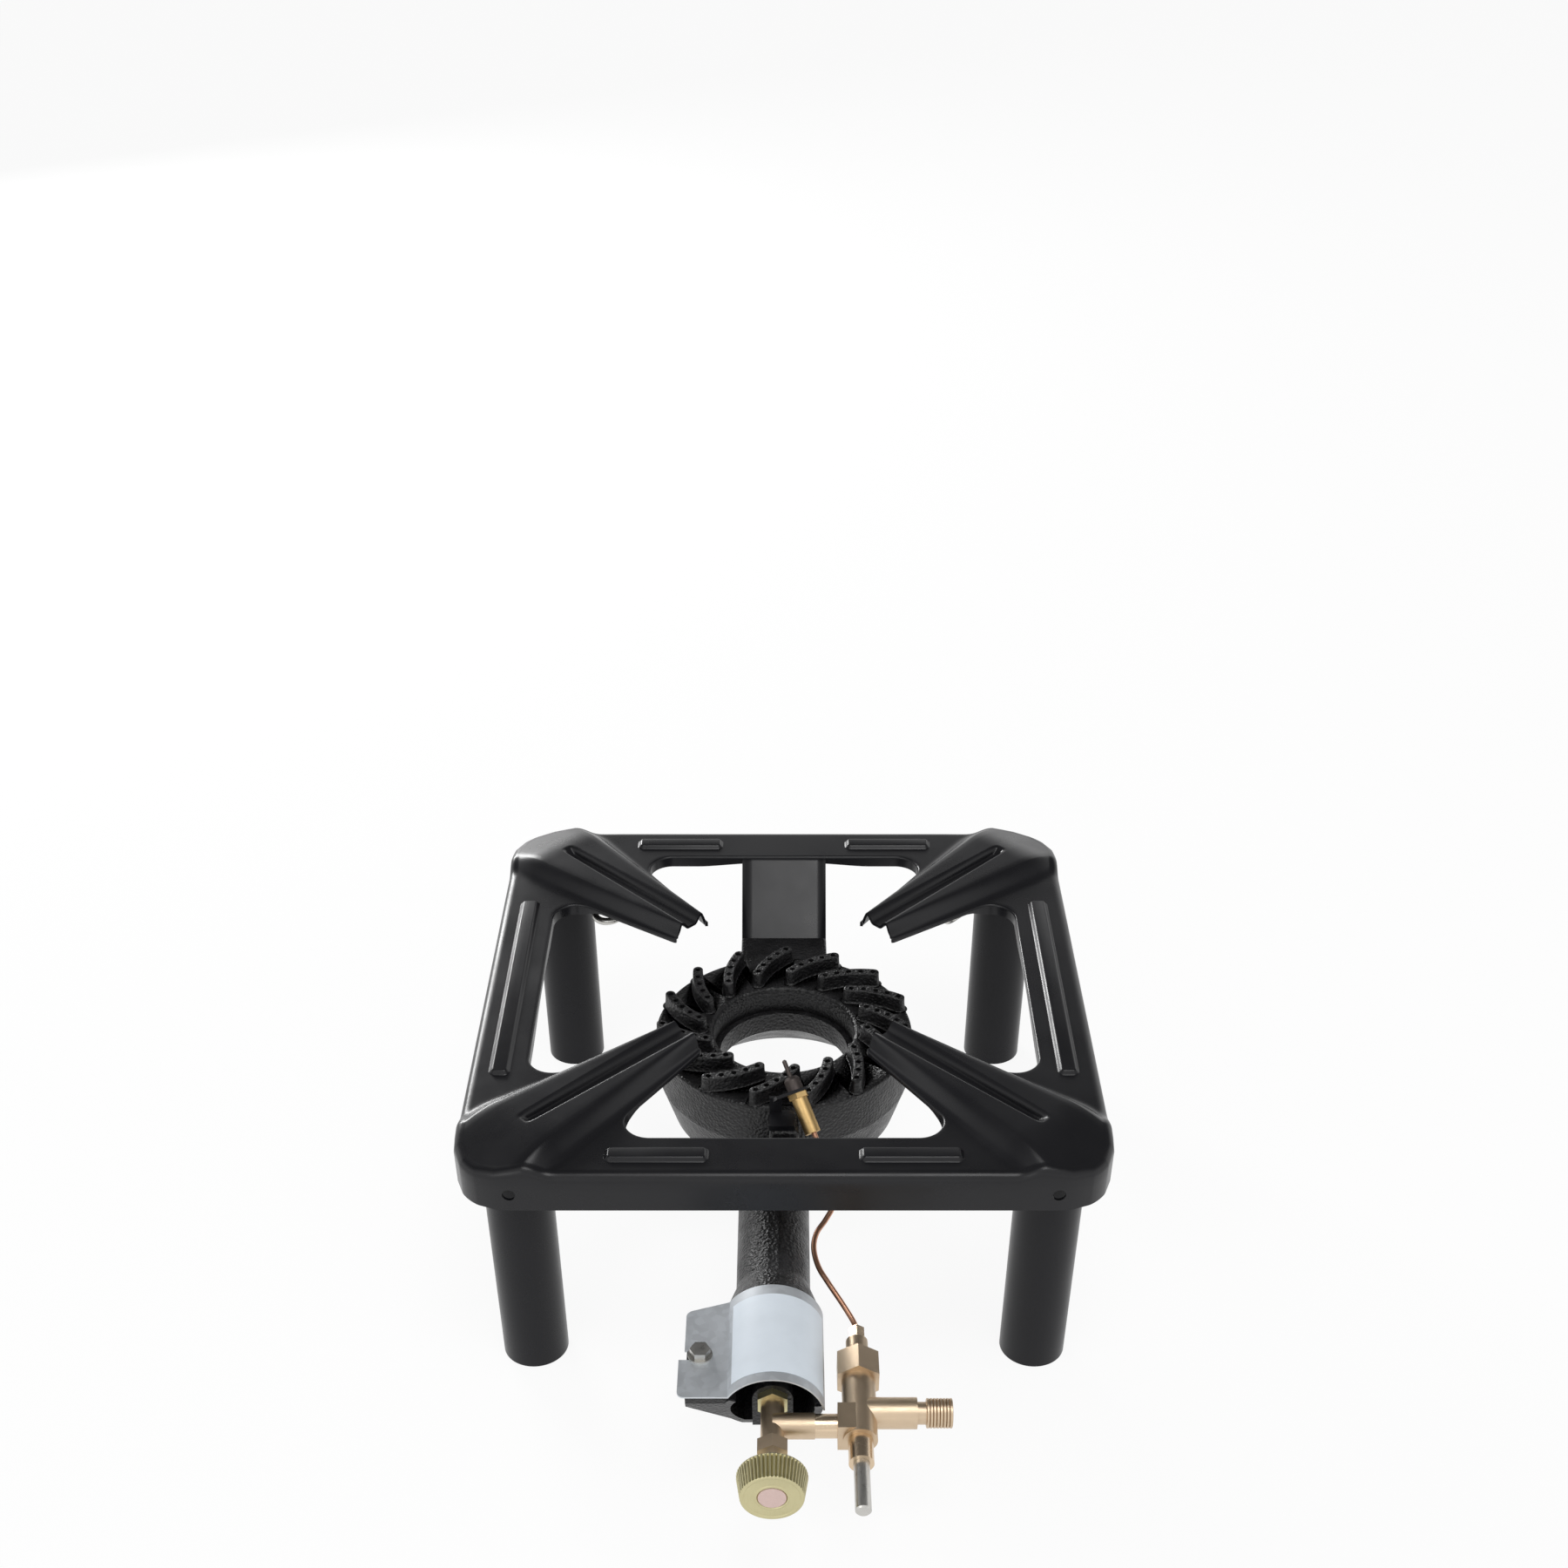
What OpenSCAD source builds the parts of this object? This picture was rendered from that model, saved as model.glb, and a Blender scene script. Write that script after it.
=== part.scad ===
// Wok burner: square pressed frame on four legs, cast ring burner, mixing tube and gas valves.
// Millimetres, +Z up, floor at z = 0, front towards -Y, origin under the middle of the whole part.

/* [Frame] */
// Side of the square frame
frame_w = 300; // [290:1:320]
// Height of the rails' top face above the floor
rail_top = 132; // [128:1:142]
// Thickness of the sheet
sheet_t = 1.5; // [1.2:0.1:1.8]
// Radius of the outer corners
corner_r = 25; // [20:1:28]
// Width of a rail from skirt to lip
rail_w = 28; // [25:1:31]
// Height of the skirt
skirt_h = 20; // [18:1:23]
// Height of the lip round the opening
lip_h = 6; // [4:0.5:8]
// Radius of the opening's corners between rail and arm
window_r = 12; // [8:1:16]
// Distance of the arm tips from the burner's axis
arm_tip_r = 68; // [62:1:76]
// Height of the arms' crests above the rails
arm_rise = 8; // [6:0.5:10]
// Depth of the groove along an arm
groove_d = 4; // [2:0.5:5]
// Half the distance between the two crests at an arm's tip
crest_half = 7.75; // [6.5:0.25:9]
// Angle by which each crest leaves the diagonal towards the corner
arm_spread = 11; // [9:0.5:13]
// Height of the raised beads on the rails
bead_h = 2; // [1:0.5:3]
// Diameter of the holes in the front skirt
skirt_hole_d = 6; // [4:0.5:8]

/* [Legs] */
// Outer diameter of a leg tube
leg_d = 31.8; // [28:0.2:34]
// Wall of a leg tube
leg_wall = 1.5; // [1.2:0.1:2]
// Height of the clamp screws above the floor
eye_z = 113; // [104:1:116]
// Outer diameter of a clamp screw's ring
eye_d = 19.4; // [16:0.2:22]

/* [Burner] */
// Height of the crown plate's top face below the rails
crown_drop = 28; // [24:1:32]
// Outer radius of the crown
crown_r = 65.6; // [62:0.2:70]
// Radius of the crown's middle hole
hole_r = 36; // [33:1:38]
// Number of swirl ridges
ridge_count = 15; // [12:1:16]
// Height of a ridge above the plate
ridge_h = 7.5; // [5:0.5:8]
// Width of a ridge
ridge_w = 5.8; // [5:0.2:6.4]
// Number of gas ports in a ridge
port_count = 5; // [3:1:6]
// Diameter of a gas port
port_d = 2.8; // [1.6:0.2:3]

/* [Mixing tube] */
// Sideways offset of the tube from the burner's middle
tube_x = -5; // [-6:0.5:0]
// Height of the tube's axis below the crown plate
tube_drop = 42; // [41:0.5:45]
// Outer radius of the tube
tube_r = 17.25; // [16:0.25:18]
// Bore radius of the tube
tube_bore_r = 13; // [11:0.5:13.5]
// Travel of the air shutter
shutter_travel = 14; // [8:1:16]
// Thickness of the shutter sheet
shutter_t = 0.8; // [0.6:0.1:1]

/* [Control valve] */
// Outer radius of the knob at its back
knob_r = 15.5; // [13:0.5:17]
// Rise of the spindle for a turn of the knob
spindle_pitch = 1; // [0.5:0.25:1.5]
// Turns of the knob from shut to open
knob_turns = 1.5; // [1:0.25:1.75]

/* [Safety valve] */
// Distance between the two valve axes
valve_gap = 38; // [37:0.5:42]
// Travel of the push pin
push_travel = 4.5; // [3:0.5:4.5]
// Outer radius of the gas inlet thread
inlet_r = 6.58; // [6.2:0.01:6.8]

/* [Thermocouple] */
// Tilt of the probe from upright
probe_tilt = 48; // [46:1:50]
// Turn of the probe about the upright
probe_turn = 30; // [28:1:32]
// Radius of the copper lead
lead_r = 1.3; // [1:0.1:1.4]

/* [Hidden] */
$fn = 64;

// Cutting overlap, running clearance and loose clearance
eps = 0.5;
fit = 0.05;
loose = 0.3;

// Frame sizes that follow
half_w = frame_w / 2;
skirt_z = rail_top - skirt_h;
under_z = rail_top - sheet_t;
lip_at = half_w - rail_w;
flank_w = 4.2;
spread_k = tan(arm_spread);
crest_k = spread_k * 0.54;
crest_u = half_w * sqrt(2) - 39;
corner_u = half_w * sqrt(2) - 8;
groove_end_u = crest_u - 5;
groove_half = [crest_half - 1.25, crest_half - 3.75];
facet_k = 0.31;
bead_w = 9;
bead_r = (bead_w * bead_w / 4 + bead_h * bead_h) / (2 * bead_h);
bead_line = half_w - rail_w / 2;
bead_short = [38, 77];
bead_long = 72;

// Leg and clamp sizes that follow
leg_r = leg_d / 2;
leg_at = half_w - leg_r - 10.8;
plate_t = 2;
leg_top = under_z - plate_t;
stub_r = leg_r - leg_wall - 0.2;
stub_wall = 2;
stub_low = eye_z - 14;
eye_wire = 2;
eye_ring = eye_d / 2 - eye_wire;
eye_reach = 39;
m6_r = 3;
nut_af = 10;
nut_out = leg_r + 5;

// Burner sizes that follow
plate_z = rail_top - crown_drop;
crown_t = 6;
lug_z = plate_z - crown_t;
foot_z = lug_z - sheet_t;
seam_z = plate_z - 24;
inner_seam_z = plate_z - 14;
skirt_wall = 3.5;
hub_wall = 4;
hub_r = hole_r - 3;
hub_low = plate_z - 25;
bowl_low = plate_z - 46;
bowl_wall = 3.5;
rim_r = crown_r - skirt_wall - loose;
ridge_out = crown_r - 3.2;
ridge_in = hole_r + 6.2;
ridge_sweep = (ridge_out - ridge_in) * 1.02;
ridge_arc = 50;
ridge_start = 88.6;
port_from = 0.025;
port_to = 0.95;
lug_out = crown_r + 19;
lug_in = crown_r - 4;
rear_lug_w = 46;
front_lug_w = 14;
lug_bolt_y = crown_r + 10.5;
lug_bolt_x = 14;
bend_y = lug_out + 1.5;
foot_end = crown_r + 1.5;
boss_x = (crown_r + hole_r) / 2 - 1.5;
boss_r = 6;
boss_split = plate_z - 20;
boss_low = bowl_low;
boss_thread = 11.5;
lug_thread = 4.3;
screw_head_r = 4.5;
screw_head_h = 3.2;
m5_r = 2.5;
m5_af = 8;

// Mixing tube sizes that follow
axis_z = plate_z - tube_drop;
tube_in_y = -50;
flare_from = -152;
flare_to = -168;
mouth_r = 22;
mouth_bore = 18.5;
mouth_from = -170;
mouth_to = -230;
cover_left = 59;
cover_right = 80;
shutter_in = mouth_r + 0.4;
shutter_out = shutter_in + shutter_t;
shutter_from = mouth_from;
label_t = 0.15;
label_gap = 0.05;
shutter_to = mouth_to + 1;
ear_top = axis_z + shutter_in * cos(cover_left) + shutter_t;
ear_low = ear_top - shutter_t;
ear_left = -39;
ear_front_left = -41.5;
ear_in = -shutter_in * sin(cover_left);
cast_ear_top = ear_low - 0.1;
cast_ear_t = 8;
nut_room = 5.3;
clamp_x = -32;
clamp_y = -204;
bridge_from = -213;
bridge_to = -219;
bridge_half = 9;
mouth_rake = 25;
rib_w = 5;
rib_h = 0.6;
rib_len = 45;

// Control valve stations along the axis
spigot_r = 5;
lock_to = -222.5;
valve_r = 5.2;
valve_to = -245;
gland_to = -252;
gland_af = 13;
branch_y = -234.5;
branch_r = 5.8;
branch_x = 18.4;
nipple_x = valve_gap - 9.8;
nipple_bore = 4;
nipple_in = 3.4;
spindle_r = 3;
spindle_lift = spindle_pitch * knob_turns;
spindle_tip = -225.5;
spindle_end = -270;
spindle_bore = -229;
needle_r = 1.4;
knob_back = -262.7;
knob_face = -275;
knob_face_r = knob_r - 1.8;
disc_r = 6;

// Safety valve stations along the axis
safety_r = 7.5;
safety_from = -208.5;
safety_to = -243;
seat_y = -231;
cap_from = -194.5;
cap_af = 18.5;
neck_r = 5;
neck_from = -183.5;
cap_bore = 3.9;
chamber_r = 5.5;
low_chamber_r = 2.9;
web_from = -237;
web_to = -240;
rod_r = 1.6;
pin_r = 3.5;
sleeve_to = -256;
pin_to = -282;
pin_in = -249;
inlet_y = -227;
inlet_bore = 3.8;
inlet_x = valve_gap + 40.5;
thread_x = inlet_x - 11.5;
disc_t = 3;
magnet_to = seat_y + disc_t + push_travel + 0.5;
nut_from = -176;

// Thermocouple sizes that follow
seat_at = [5.8, -crown_r - 0.4, plate_z + 11];
tab_t = 1.5;
base_t = 2.8;
probe_r = 2.9;
sleeve_len = 22;
collar_h = 2.6;
shift_y = -(half_w + pin_to) / 2;

// Lead from the thermocouple sleeve to the safety valve, relative to crown plate and valve axis
lead_drop = plate_z - 104;
lead_end = tube_x + valve_gap;
lead_points = [probe_point(-19), probe_point(-24),
  [18, -88, 91.5 + lead_drop], [22.5, -98, 84 + lead_drop], [23.5, -108, 79 + lead_drop],
  [tube_x + 25, -116, axis_z + 14.5], [tube_x + 20.5, -124, axis_z + 13], [tube_x + 19, -133, axis_z + 11.5],
  [tube_x + 21, -144, axis_z + 10], [tube_x + 25.5, -153, axis_z + 8], [lead_end - 6, -163, axis_z + 4],
  [lead_end - 1, -171.5, axis_z + 0.6], [lead_end, -177, axis_z], [lead_end, -183, axis_z]];
lead_steps = 4;
lead_sides = 8;

function unit(v) = v / norm(v);
function heading(a) = [cos(a), sin(a)];
function diag(a, u, s) = [u * cos(a) - s * sin(a), u * sin(a) + s * cos(a)];
function crest(u) = crest_half + (u - arm_tip_r) * crest_k;
function foot(u) = crest_half + flank_w + (u - arm_tip_r) * spread_k;
function ramp(x) = min(1, max(0, x));

// Points of a rounded corner at b between the lines to a and to c
function rounded(a, b, c, r, n = 8) =
  let (v1 = unit(a - b), v2 = unit(c - b), half = acos(v1 * v2) / 2,
    m = b + unit(v1 + v2) * r / sin(half),
    p = b + v1 * r / tan(half) - m, q = b + v2 * r / tan(half) - m,
    a0 = atan2(p[1], p[0]), turn = atan2(p[0] * q[1] - p[1] * q[0], p * q))
  [for (i = [0 : n]) m + r * [cos(a0 + turn * i / n), sin(a0 + turn * i / n)]];

// Outline of the frame's opening, grown by d into the sheet; reach is where the arms end
function window_corner(a, d) =
  let (f0 = crest_half + flank_w - d / cos(arm_spread) - arm_tip_r * spread_k,
    u = ((lip_at + d) * sqrt(2) - f0) / (1 + spread_k))
  [u, f0 + spread_k * u];
function opening_side(a, d, reach) =
  let (w = window_corner(a, d), f = foot(reach) - d / cos(arm_spread),
    p = diag(a, reach, f), q = diag(a, w[0], w[1]),
    s = diag(a + 90, w[0], -w[1]), t = diag(a + 90, reach, -f))
  concat([p], rounded(p, q, s, window_r + d), rounded(q, s, t, window_r + d), [t]);
function opening(d, reach) = [for (k = [0 : 3]) for (p = opening_side(225 + 90 * k, d, reach)) p];

// Half width and depth of the groove and the corner's fall at distance u
function groove_at(u) = groove_half[0]
  + (groove_half[1] - groove_half[0]) * ramp((u - arm_tip_r) / (groove_end_u - arm_tip_r));
function groove_depth(u) = groove_d * (1 - ramp((u - groove_end_u + 8) / 8));
function corner_drop(u) = max(0, u - crest_u) * facet_k;

// Cross section of an arm at distance u, from one foot to the other, d below the outer face
function arm_half_section(u, d) =
  let (c = crest(u) - d * 0.5, g = groove_at(u), f = foot(u) - crest(u), k = arm_rise - corner_drop(u),
    low = k - groove_depth(u))
  [[0, low - d], [g * 0.35, low + (k - low) * 0.06 - d], [g * 0.8, k - (k - low) * 0.12 - d], [g, k - d], [c, k - d],
    [c + f * 0.25 - d * 0.3, k * 0.85 - d], [c + f * 0.6 - d * 0.4, k * 0.3 - d],
    [foot(u) - d / cos(arm_spread), -2 - d]];
function arm_section(u, d) =
  let (h = arm_half_section(u, d), n = len(h))
  concat([for (i = [n - 1 : -1 : 1]) [-h[i][0], h[i][1]]], h);
arm_stations = [arm_tip_r, arm_tip_r + 40, groove_end_u - 8, groove_end_u, crest_u, corner_u];

// Solid under the sections of one arm along +X, closed by a flat bottom
function arm_rows(d, tip) = [for (i = [0 : len(arm_stations) - 1])
  let (u = arm_stations[i], x = i == 0 ? tip : u, s = arm_section(u, d), m = len(s) - 1)
  concat([for (p = s) [x, p[0], p[1]]], [for (j = [m, 0]) [x, s[j][0], -4 - 2 * d]])];
module arm(d, tip) {
  rows = arm_rows(d, tip);
  n = len(rows[0]);
  m = len(rows);
  faces = concat(
    [for (i = [0 : m - 2]) for (j = [0 : n - 1]) [i * n + j, i * n + (j + 1) % n, (i + 1) * n + (j + 1) % n]],
    [for (i = [0 : m - 2]) for (j = [0 : n - 1]) [i * n + j, (i + 1) * n + (j + 1) % n, (i + 1) * n + j]],
    [for (t = arm_cap(n)) [t[2], t[1], t[0]]], [for (t = arm_cap(n)) [for (j = t) (m - 1) * n + j]]);
  polyhedron([for (r = rows) for (p = r) p], faces);
}
// End face of an arm: each half is a fan from its lower corner
function arm_cap(n) =
  let (mid = (n - 3) / 2)
  concat([[mid, n - 2, n - 1]], [for (j = [0 : n - 4]) [j, j + 1, j < mid ? n - 1 : n - 2]]);
module arms(d, tip) {
  for (a = [45 : 90 : 315])
    translate([0, 0, rail_top]) rotate([0, 0, a]) arm(d, tip);
}

module square_block(w, r, z0, z1) {
  translate([-w / 2, r - w / 2, z0]) cube([w, w - 2 * r, z1 - z0]);
  translate([r - w / 2, -w / 2, z0]) cube([w - 2 * r, w, z1 - z0]);
  for (x = [-1, 1], y = [-1, 1])
    translate([x * (w / 2 - r), y * (w / 2 - r), z0]) cylinder(h = z1 - z0, r = r);
}

module place() {
  translate([0, shift_y, 0]) children();
}
// Place of what lies on the mixing tube's axis
module at_tube() {
  translate([tube_x, shift_y, 0]) children();
}

// Cylinder along the front-back direction from y0 towards the front to y1
module rod_y(x, y0, y1, z, r) {
  translate([x, y0, z]) rotate([90, 0, 0]) cylinder(h = y0 - y1, r = r);
}
// Cone along the front-back direction
module cone_y(x, y0, y1, z, r0, r1) {
  translate([x, y0, z]) rotate([90, 0, 0]) cylinder(h = y0 - y1, r1 = r0, r2 = r1);
}
// Hexagon bar along the front-back direction, af across its flats
module hex_y(x, y0, y1, z, af) {
  translate([x, y0, z]) rotate([90, 30, 0]) cylinder(h = y0 - y1, r = af / 2 / cos(30), $fn = 6);
}
// Cylinder along the left-right direction
module rod_x(x0, x1, y, z, r) {
  translate([x0, y, z]) rotate([0, 90, 0]) cylinder(h = x1 - x0, r = r);
}
// Body of revolution about the front-back direction; profile points are [radius, distance towards the front]
module turned_y(x, y0, z, points) {
  translate([x, y0, z]) rotate([90, 0, 0]) rotate_extrude() polygon(points);
}

module bead(x0, x1) {
  z = rail_top + bead_h - bead_r;
  translate([x0, 0, z]) rotate([0, 90, 0]) cylinder(h = x1 - x0, r = bead_r);
  for (x = [x0, x1]) translate([x, 0, z]) sphere(r = bead_r);
}
module beads() {
  for (side = [-1, 1]) {
    translate([0, side * bead_line, 0]) bead(bead_short[0], bead_short[1]);
    translate([0, side * bead_line, 0]) bead(-bead_short[1], -bead_short[0]);
    rotate([0, 0, 90]) translate([0, side * bead_line, 0]) bead(-bead_long, bead_long);
  }
}

// Hanger strip of width w from the rail's lip down to a foot under the crown's lug
module tongue(w) {
  rise = rail_top - 1 - foot_z - sheet_t / 2;
  run = lip_at + 0.8 - bend_y;
  translate([-w / 2, bend_y, foot_z + sheet_t / 2]) rotate([atan2(rise, run), 0, 0])
    translate([0, 0, -sheet_t / 2]) cube([w, norm([rise, run]), sheet_t]);
  translate([-w / 2, foot_end, foot_z]) cube([w, bend_y - foot_end, sheet_t]);
}
module foot_hole(x, y) {
  translate([x, y, foot_z - eps]) cylinder(h = sheet_t + 2 * eps, r = m6_r + loose);
}

module stool_frame() {
  color([0.08, 0.08, 0.09]) place() {
    difference() {
      union() {
        difference() {
          square_block(frame_w, corner_r, skirt_z, rail_top);
          translate([0, 0, skirt_z - eps]) linear_extrude(skirt_h + 2 * eps) polygon(opening(0, arm_tip_r + eps));
        }
        intersection() {
          arms(0, arm_tip_r);
          square_block(frame_w, corner_r, skirt_z, rail_top + arm_rise + 5);
        }
        beads();
      }
      difference() {
        square_block(frame_w - 2 * sheet_t, corner_r - sheet_t, skirt_z - 5, under_z);
        translate([0, 0, skirt_z - 6])
          linear_extrude(skirt_h + 10) polygon(opening(sheet_t, arm_tip_r + sheet_t + eps));
      }
      intersection() {
        arms(sheet_t, arm_tip_r + sheet_t);
        square_block(frame_w - 2 * sheet_t, corner_r - sheet_t, skirt_z, rail_top + arm_rise);
      }
      square_block(frame_w - 4 * sheet_t, corner_r - 2 * sheet_t, skirt_z - 5, rail_top - lip_h);
      translate([0, 0, skirt_z - 5]) cylinder(h = skirt_h + 4, r = lip_at - 8);
      for (x = [-leg_at, leg_at])
        rod_y(x, -half_w + 4, -half_w - 2, skirt_z + skirt_h * 0.45, skirt_hole_d / 2);
    }
    difference() {
      tongue(rear_lug_w);
      for (x = [-lug_bolt_x, lug_bolt_x]) foot_hole(x, lug_bolt_y);
    }
    difference() {
      rotate([0, 0, 180]) tongue(front_lug_w);
      foot_hole(0, -lug_bolt_y);
    }
  }
}

// One leg corner: sx and sy are the signs of its place
module at_leg(sx, sy) {
  place() translate([sx * leg_at, sy * leg_at, 0]) children();
}
module leg(sx, sy) {
  at_leg(sx, sy) difference() {
    cylinder(h = leg_top, r = leg_r);
    translate([0, 0, -eps]) cylinder(h = leg_top + 2 * eps, r = leg_r - leg_wall);
    inward(sx, sy) translate([0, 0, eye_z]) rotate([0, 90, 0]) cylinder(h = leg_r + 5, r = m6_r + loose);
  }
}
module inward(sx, sy) {
  rotate([0, 0, atan2(-sy, -sx)]) children();
}
module leg_stub(sx, sy) {
  reach = half_w - sheet_t - leg_at;
  place() difference() {
    union() {
      translate([sx * leg_at, sy * leg_at, stub_low]) cylinder(h = leg_top - stub_low + eps, r = stub_r);
      intersection() {
        translate([sx * (leg_at + reach / 2 - 9), sy * (leg_at + reach / 2 - 9), leg_top + plate_t / 2])
          cube([reach + 18, reach + 18, plate_t], center = true);
        square_block(frame_w - 2 * sheet_t, corner_r - sheet_t, leg_top - 1, under_z + 1);
      }
    }
    translate([sx * leg_at, sy * leg_at, stub_low - eps])
      cylinder(h = leg_top - stub_low, r = stub_r - stub_wall);
  }
}
module clamp_nut(sx, sy) {
  at_leg(sx, sy) difference() {
    inward(sx, sy) translate([leg_r - 3, 0, eye_z]) rotate([0, 90, 0])
      cylinder(h = nut_out - leg_r + 3, r = nut_af / 2 / cos(30), $fn = 6);
    cylinder(h = leg_top, r = leg_r);
    inward(sx, sy) translate([0, 0, eye_z]) rotate([0, 90, 0]) cylinder(h = nut_out + 5, r = m6_r + fit);
  }
}
module eye_bolt(sx, sy, turn) {
  color([0.75, 0.75, 0.72]) at_leg(sx, sy) inward(sx, sy) translate([0, 0, eye_z]) rotate([turn, 0, 0]) {
    translate([stub_r + 0.4, 0, 0]) rotate([0, 90, 0])
      cylinder(h = eye_reach - eye_ring - stub_r - 0.4, r = m6_r);
    translate([eye_reach, 0, 0]) rotate_extrude() translate([eye_ring, 0]) circle(r = eye_wire);
  }
}
module leg_front_left() { color([0.1, 0.1, 0.1]) leg(-1, -1); }
module leg_front_right() { color([0.1, 0.1, 0.1]) leg(1, -1); }
module leg_rear_left() { color([0.1, 0.1, 0.1]) leg(-1, 1); }
module leg_rear_right() { color([0.1, 0.1, 0.1]) leg(1, 1); }
module leg_stub_front_left() { color([0.1, 0.1, 0.1]) leg_stub(-1, -1); }
module leg_stub_front_right() { color([0.1, 0.1, 0.1]) leg_stub(1, -1); }
module leg_stub_rear_left() { color([0.1, 0.1, 0.1]) leg_stub(-1, 1); }
module leg_stub_rear_right() { color([0.1, 0.1, 0.1]) leg_stub(1, 1); }
module clamp_nuts() {
  color([0.2, 0.2, 0.2]) for (sx = [-1, 1], sy = [-1, 1]) clamp_nut(sx, sy);
}
module eye_bolt_front_left() { eye_bolt(-1, -1, 20); }
module eye_bolt_front_right() { eye_bolt(1, -1, -30); }
module eye_bolt_rear_left() { eye_bolt(-1, 1, 10); }
module eye_bolt_rear_right() { eye_bolt(1, 1, 55); }

// Place along a ridge at share s of its length, as [x, y, direction from the arc's middle]
function ridge_ends() = [[ridge_out, 0], ridge_in * [cos(ridge_sweep), sin(ridge_sweep)]];
function ridge_middle() =
  let (e = ridge_ends(), v = e[1] - e[0], h = sqrt(ridge_arc * ridge_arc - v * v / 4), w = unit(v))
  (e[0] + e[1]) / 2 + h * [-w[1], w[0]];
function ridge_angles() =
  let (e = ridge_ends(), m = ridge_middle(), p = e[0] - m, q = e[1] - m)
  [atan2(p[1], p[0]), atan2(q[1], q[0])];
module ridge() {
  m = ridge_middle();
  a = ridge_angles();
  translate([m[0], m[1], plate_z - 1]) linear_extrude(ridge_h + 1) polygon(concat(
    [for (i = [0 : 8]) (ridge_arc + ridge_w / 2) * heading(a[0] + (a[1] - a[0]) * i / 8)],
    [for (i = [1 : 7]) ridge_arc * heading(a[1]) + ridge_w / 2 * heading(a[1] + 180 * i / 8)],
    [for (i = [8 : -1 : 0]) (ridge_arc - ridge_w / 2) * heading(a[0] + (a[1] - a[0]) * i / 8)],
    [for (i = [1 : 7]) ridge_arc * heading(a[0]) + ridge_w / 2 * heading(a[0] + 180 + 180 * i / 8)]));
}
function port_share(i) = port_from + (port_to - port_from) * i / (port_count - 1);
module ridge_ports() {
  m = ridge_middle();
  a = ridge_angles();
  for (i = [0 : port_count - 1])
    translate([m[0], m[1], lug_z - eps]) rotate([0, 0, a[0] + (a[1] - a[0]) * port_share(i)])
      translate([ridge_arc, 0, 0]) cylinder(h = crown_t + ridge_h + 2 * eps, r = port_d / 2, $fn = 24);
}
module each_ridge() {
  for (i = [0 : ridge_count - 1]) rotate([0, 0, ridge_start + i * 360 / ridge_count]) children();
}
module burner_crown() {
  color([0.16, 0.15, 0.15]) place() difference() {
    union() {
      rotate_extrude() polygon([[hole_r, plate_z], [hole_r, inner_seam_z], [hole_r + hub_wall, inner_seam_z],
        [hole_r + hub_wall, lug_z], [crown_r - skirt_wall, lug_z], [crown_r - skirt_wall, seam_z],
        [crown_r, seam_z], [crown_r, plate_z]]);
      each_ridge() ridge();
      translate([-rear_lug_w / 2, lug_in, lug_z]) cube([rear_lug_w, lug_out - lug_in, crown_t]);
      translate([-front_lug_w / 2, -lug_out, lug_z]) cube([front_lug_w, lug_out - lug_in, crown_t]);
      for (x = [-boss_x, boss_x])
        translate([x, 0, boss_split]) cylinder(h = lug_z - boss_split + eps, r = boss_r);
    }
    each_ridge() ridge_ports();
    for (x = [-lug_bolt_x, lug_bolt_x])
      translate([x, lug_bolt_y, lug_z - eps]) cylinder(h = lug_thread + eps, r = m6_r + fit);
    translate([0, -lug_bolt_y, lug_z - eps]) cylinder(h = crown_t + 2 * eps, r = m6_r + fit);
    for (x = [-boss_x, boss_x])
      translate([x, 0, boss_split - eps]) cylinder(h = boss_thread + eps, r = m5_r + fit);
  }
}

module bowl_outside() {
  rotate_extrude() polygon([[hub_r, inner_seam_z], [hub_r, hub_low], [crown_r - 11, bowl_low],
    [crown_r - 7.5, bowl_low], [crown_r - 0.6, seam_z], [rim_r, seam_z], [rim_r, inner_seam_z - 1]]);
}
module bowl_channel() {
  top = inner_seam_z + 1;
  low = bowl_low + bowl_wall + 1;
  rotate_extrude() polygon([[hub_r + hub_wall, top], [hub_r + hub_wall, hub_low + 2], [crown_r - 11.5, low],
    [crown_r - 9, low], [rim_r - bowl_wall, seam_z], [rim_r - bowl_wall, top]]);
}
module bowl_bosses() {
  for (x = [-boss_x, boss_x])
    translate([x, 0, boss_low]) cylinder(h = boss_split - boss_low, r = boss_r);
}
// Tube, flare, mouth and shutter ear on its web, flat underneath and cut back under the mouth
module tube_outside() {
  difference() {
    union() {
      rod_y(0, tube_in_y, flare_from, axis_z, tube_r);
      translate([0, tube_in_y, axis_z]) sphere(r = tube_r);
      cone_y(0, flare_from, flare_to, axis_z, tube_r, mouth_r);
      rod_y(0, flare_to, mouth_to, axis_z, mouth_r);
      translate([-rib_w / 2, flare_from - 5, axis_z]) cube([rib_w, rib_len, tube_r + rib_h]);
      difference() {
        translate([0, mouth_from - 6, 0]) rotate([90, 0, 0]) linear_extrude(mouth_from - mouth_to - 8)
          polygon([[ear_left + 1, cast_ear_top], [ear_left + 1, cast_ear_top - cast_ear_t],
            [-12, axis_z - tube_r], [-12, cast_ear_top]]);
        translate([clamp_x - nut_room, clamp_y - nut_room, axis_z - tube_r - 1])
          cube([2 * nut_room, shutter_travel + 2 * nut_room, cast_ear_top - cast_ear_t - axis_z + tube_r + 1]);
      }
    }
    translate([-mouth_r * 2, mouth_to - 5, axis_z - tube_r - mouth_r])
      cube([mouth_r * 4, tube_in_y - mouth_to - 10, mouth_r]);
    translate([-mouth_r * 2.5, mouth_to, cast_ear_top]) rotate([mouth_rake, 0, 0])
      translate([0, -mouth_r, -mouth_r * 4]) cube([mouth_r * 4, mouth_r, mouth_r * 4]);
  }
}
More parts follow.
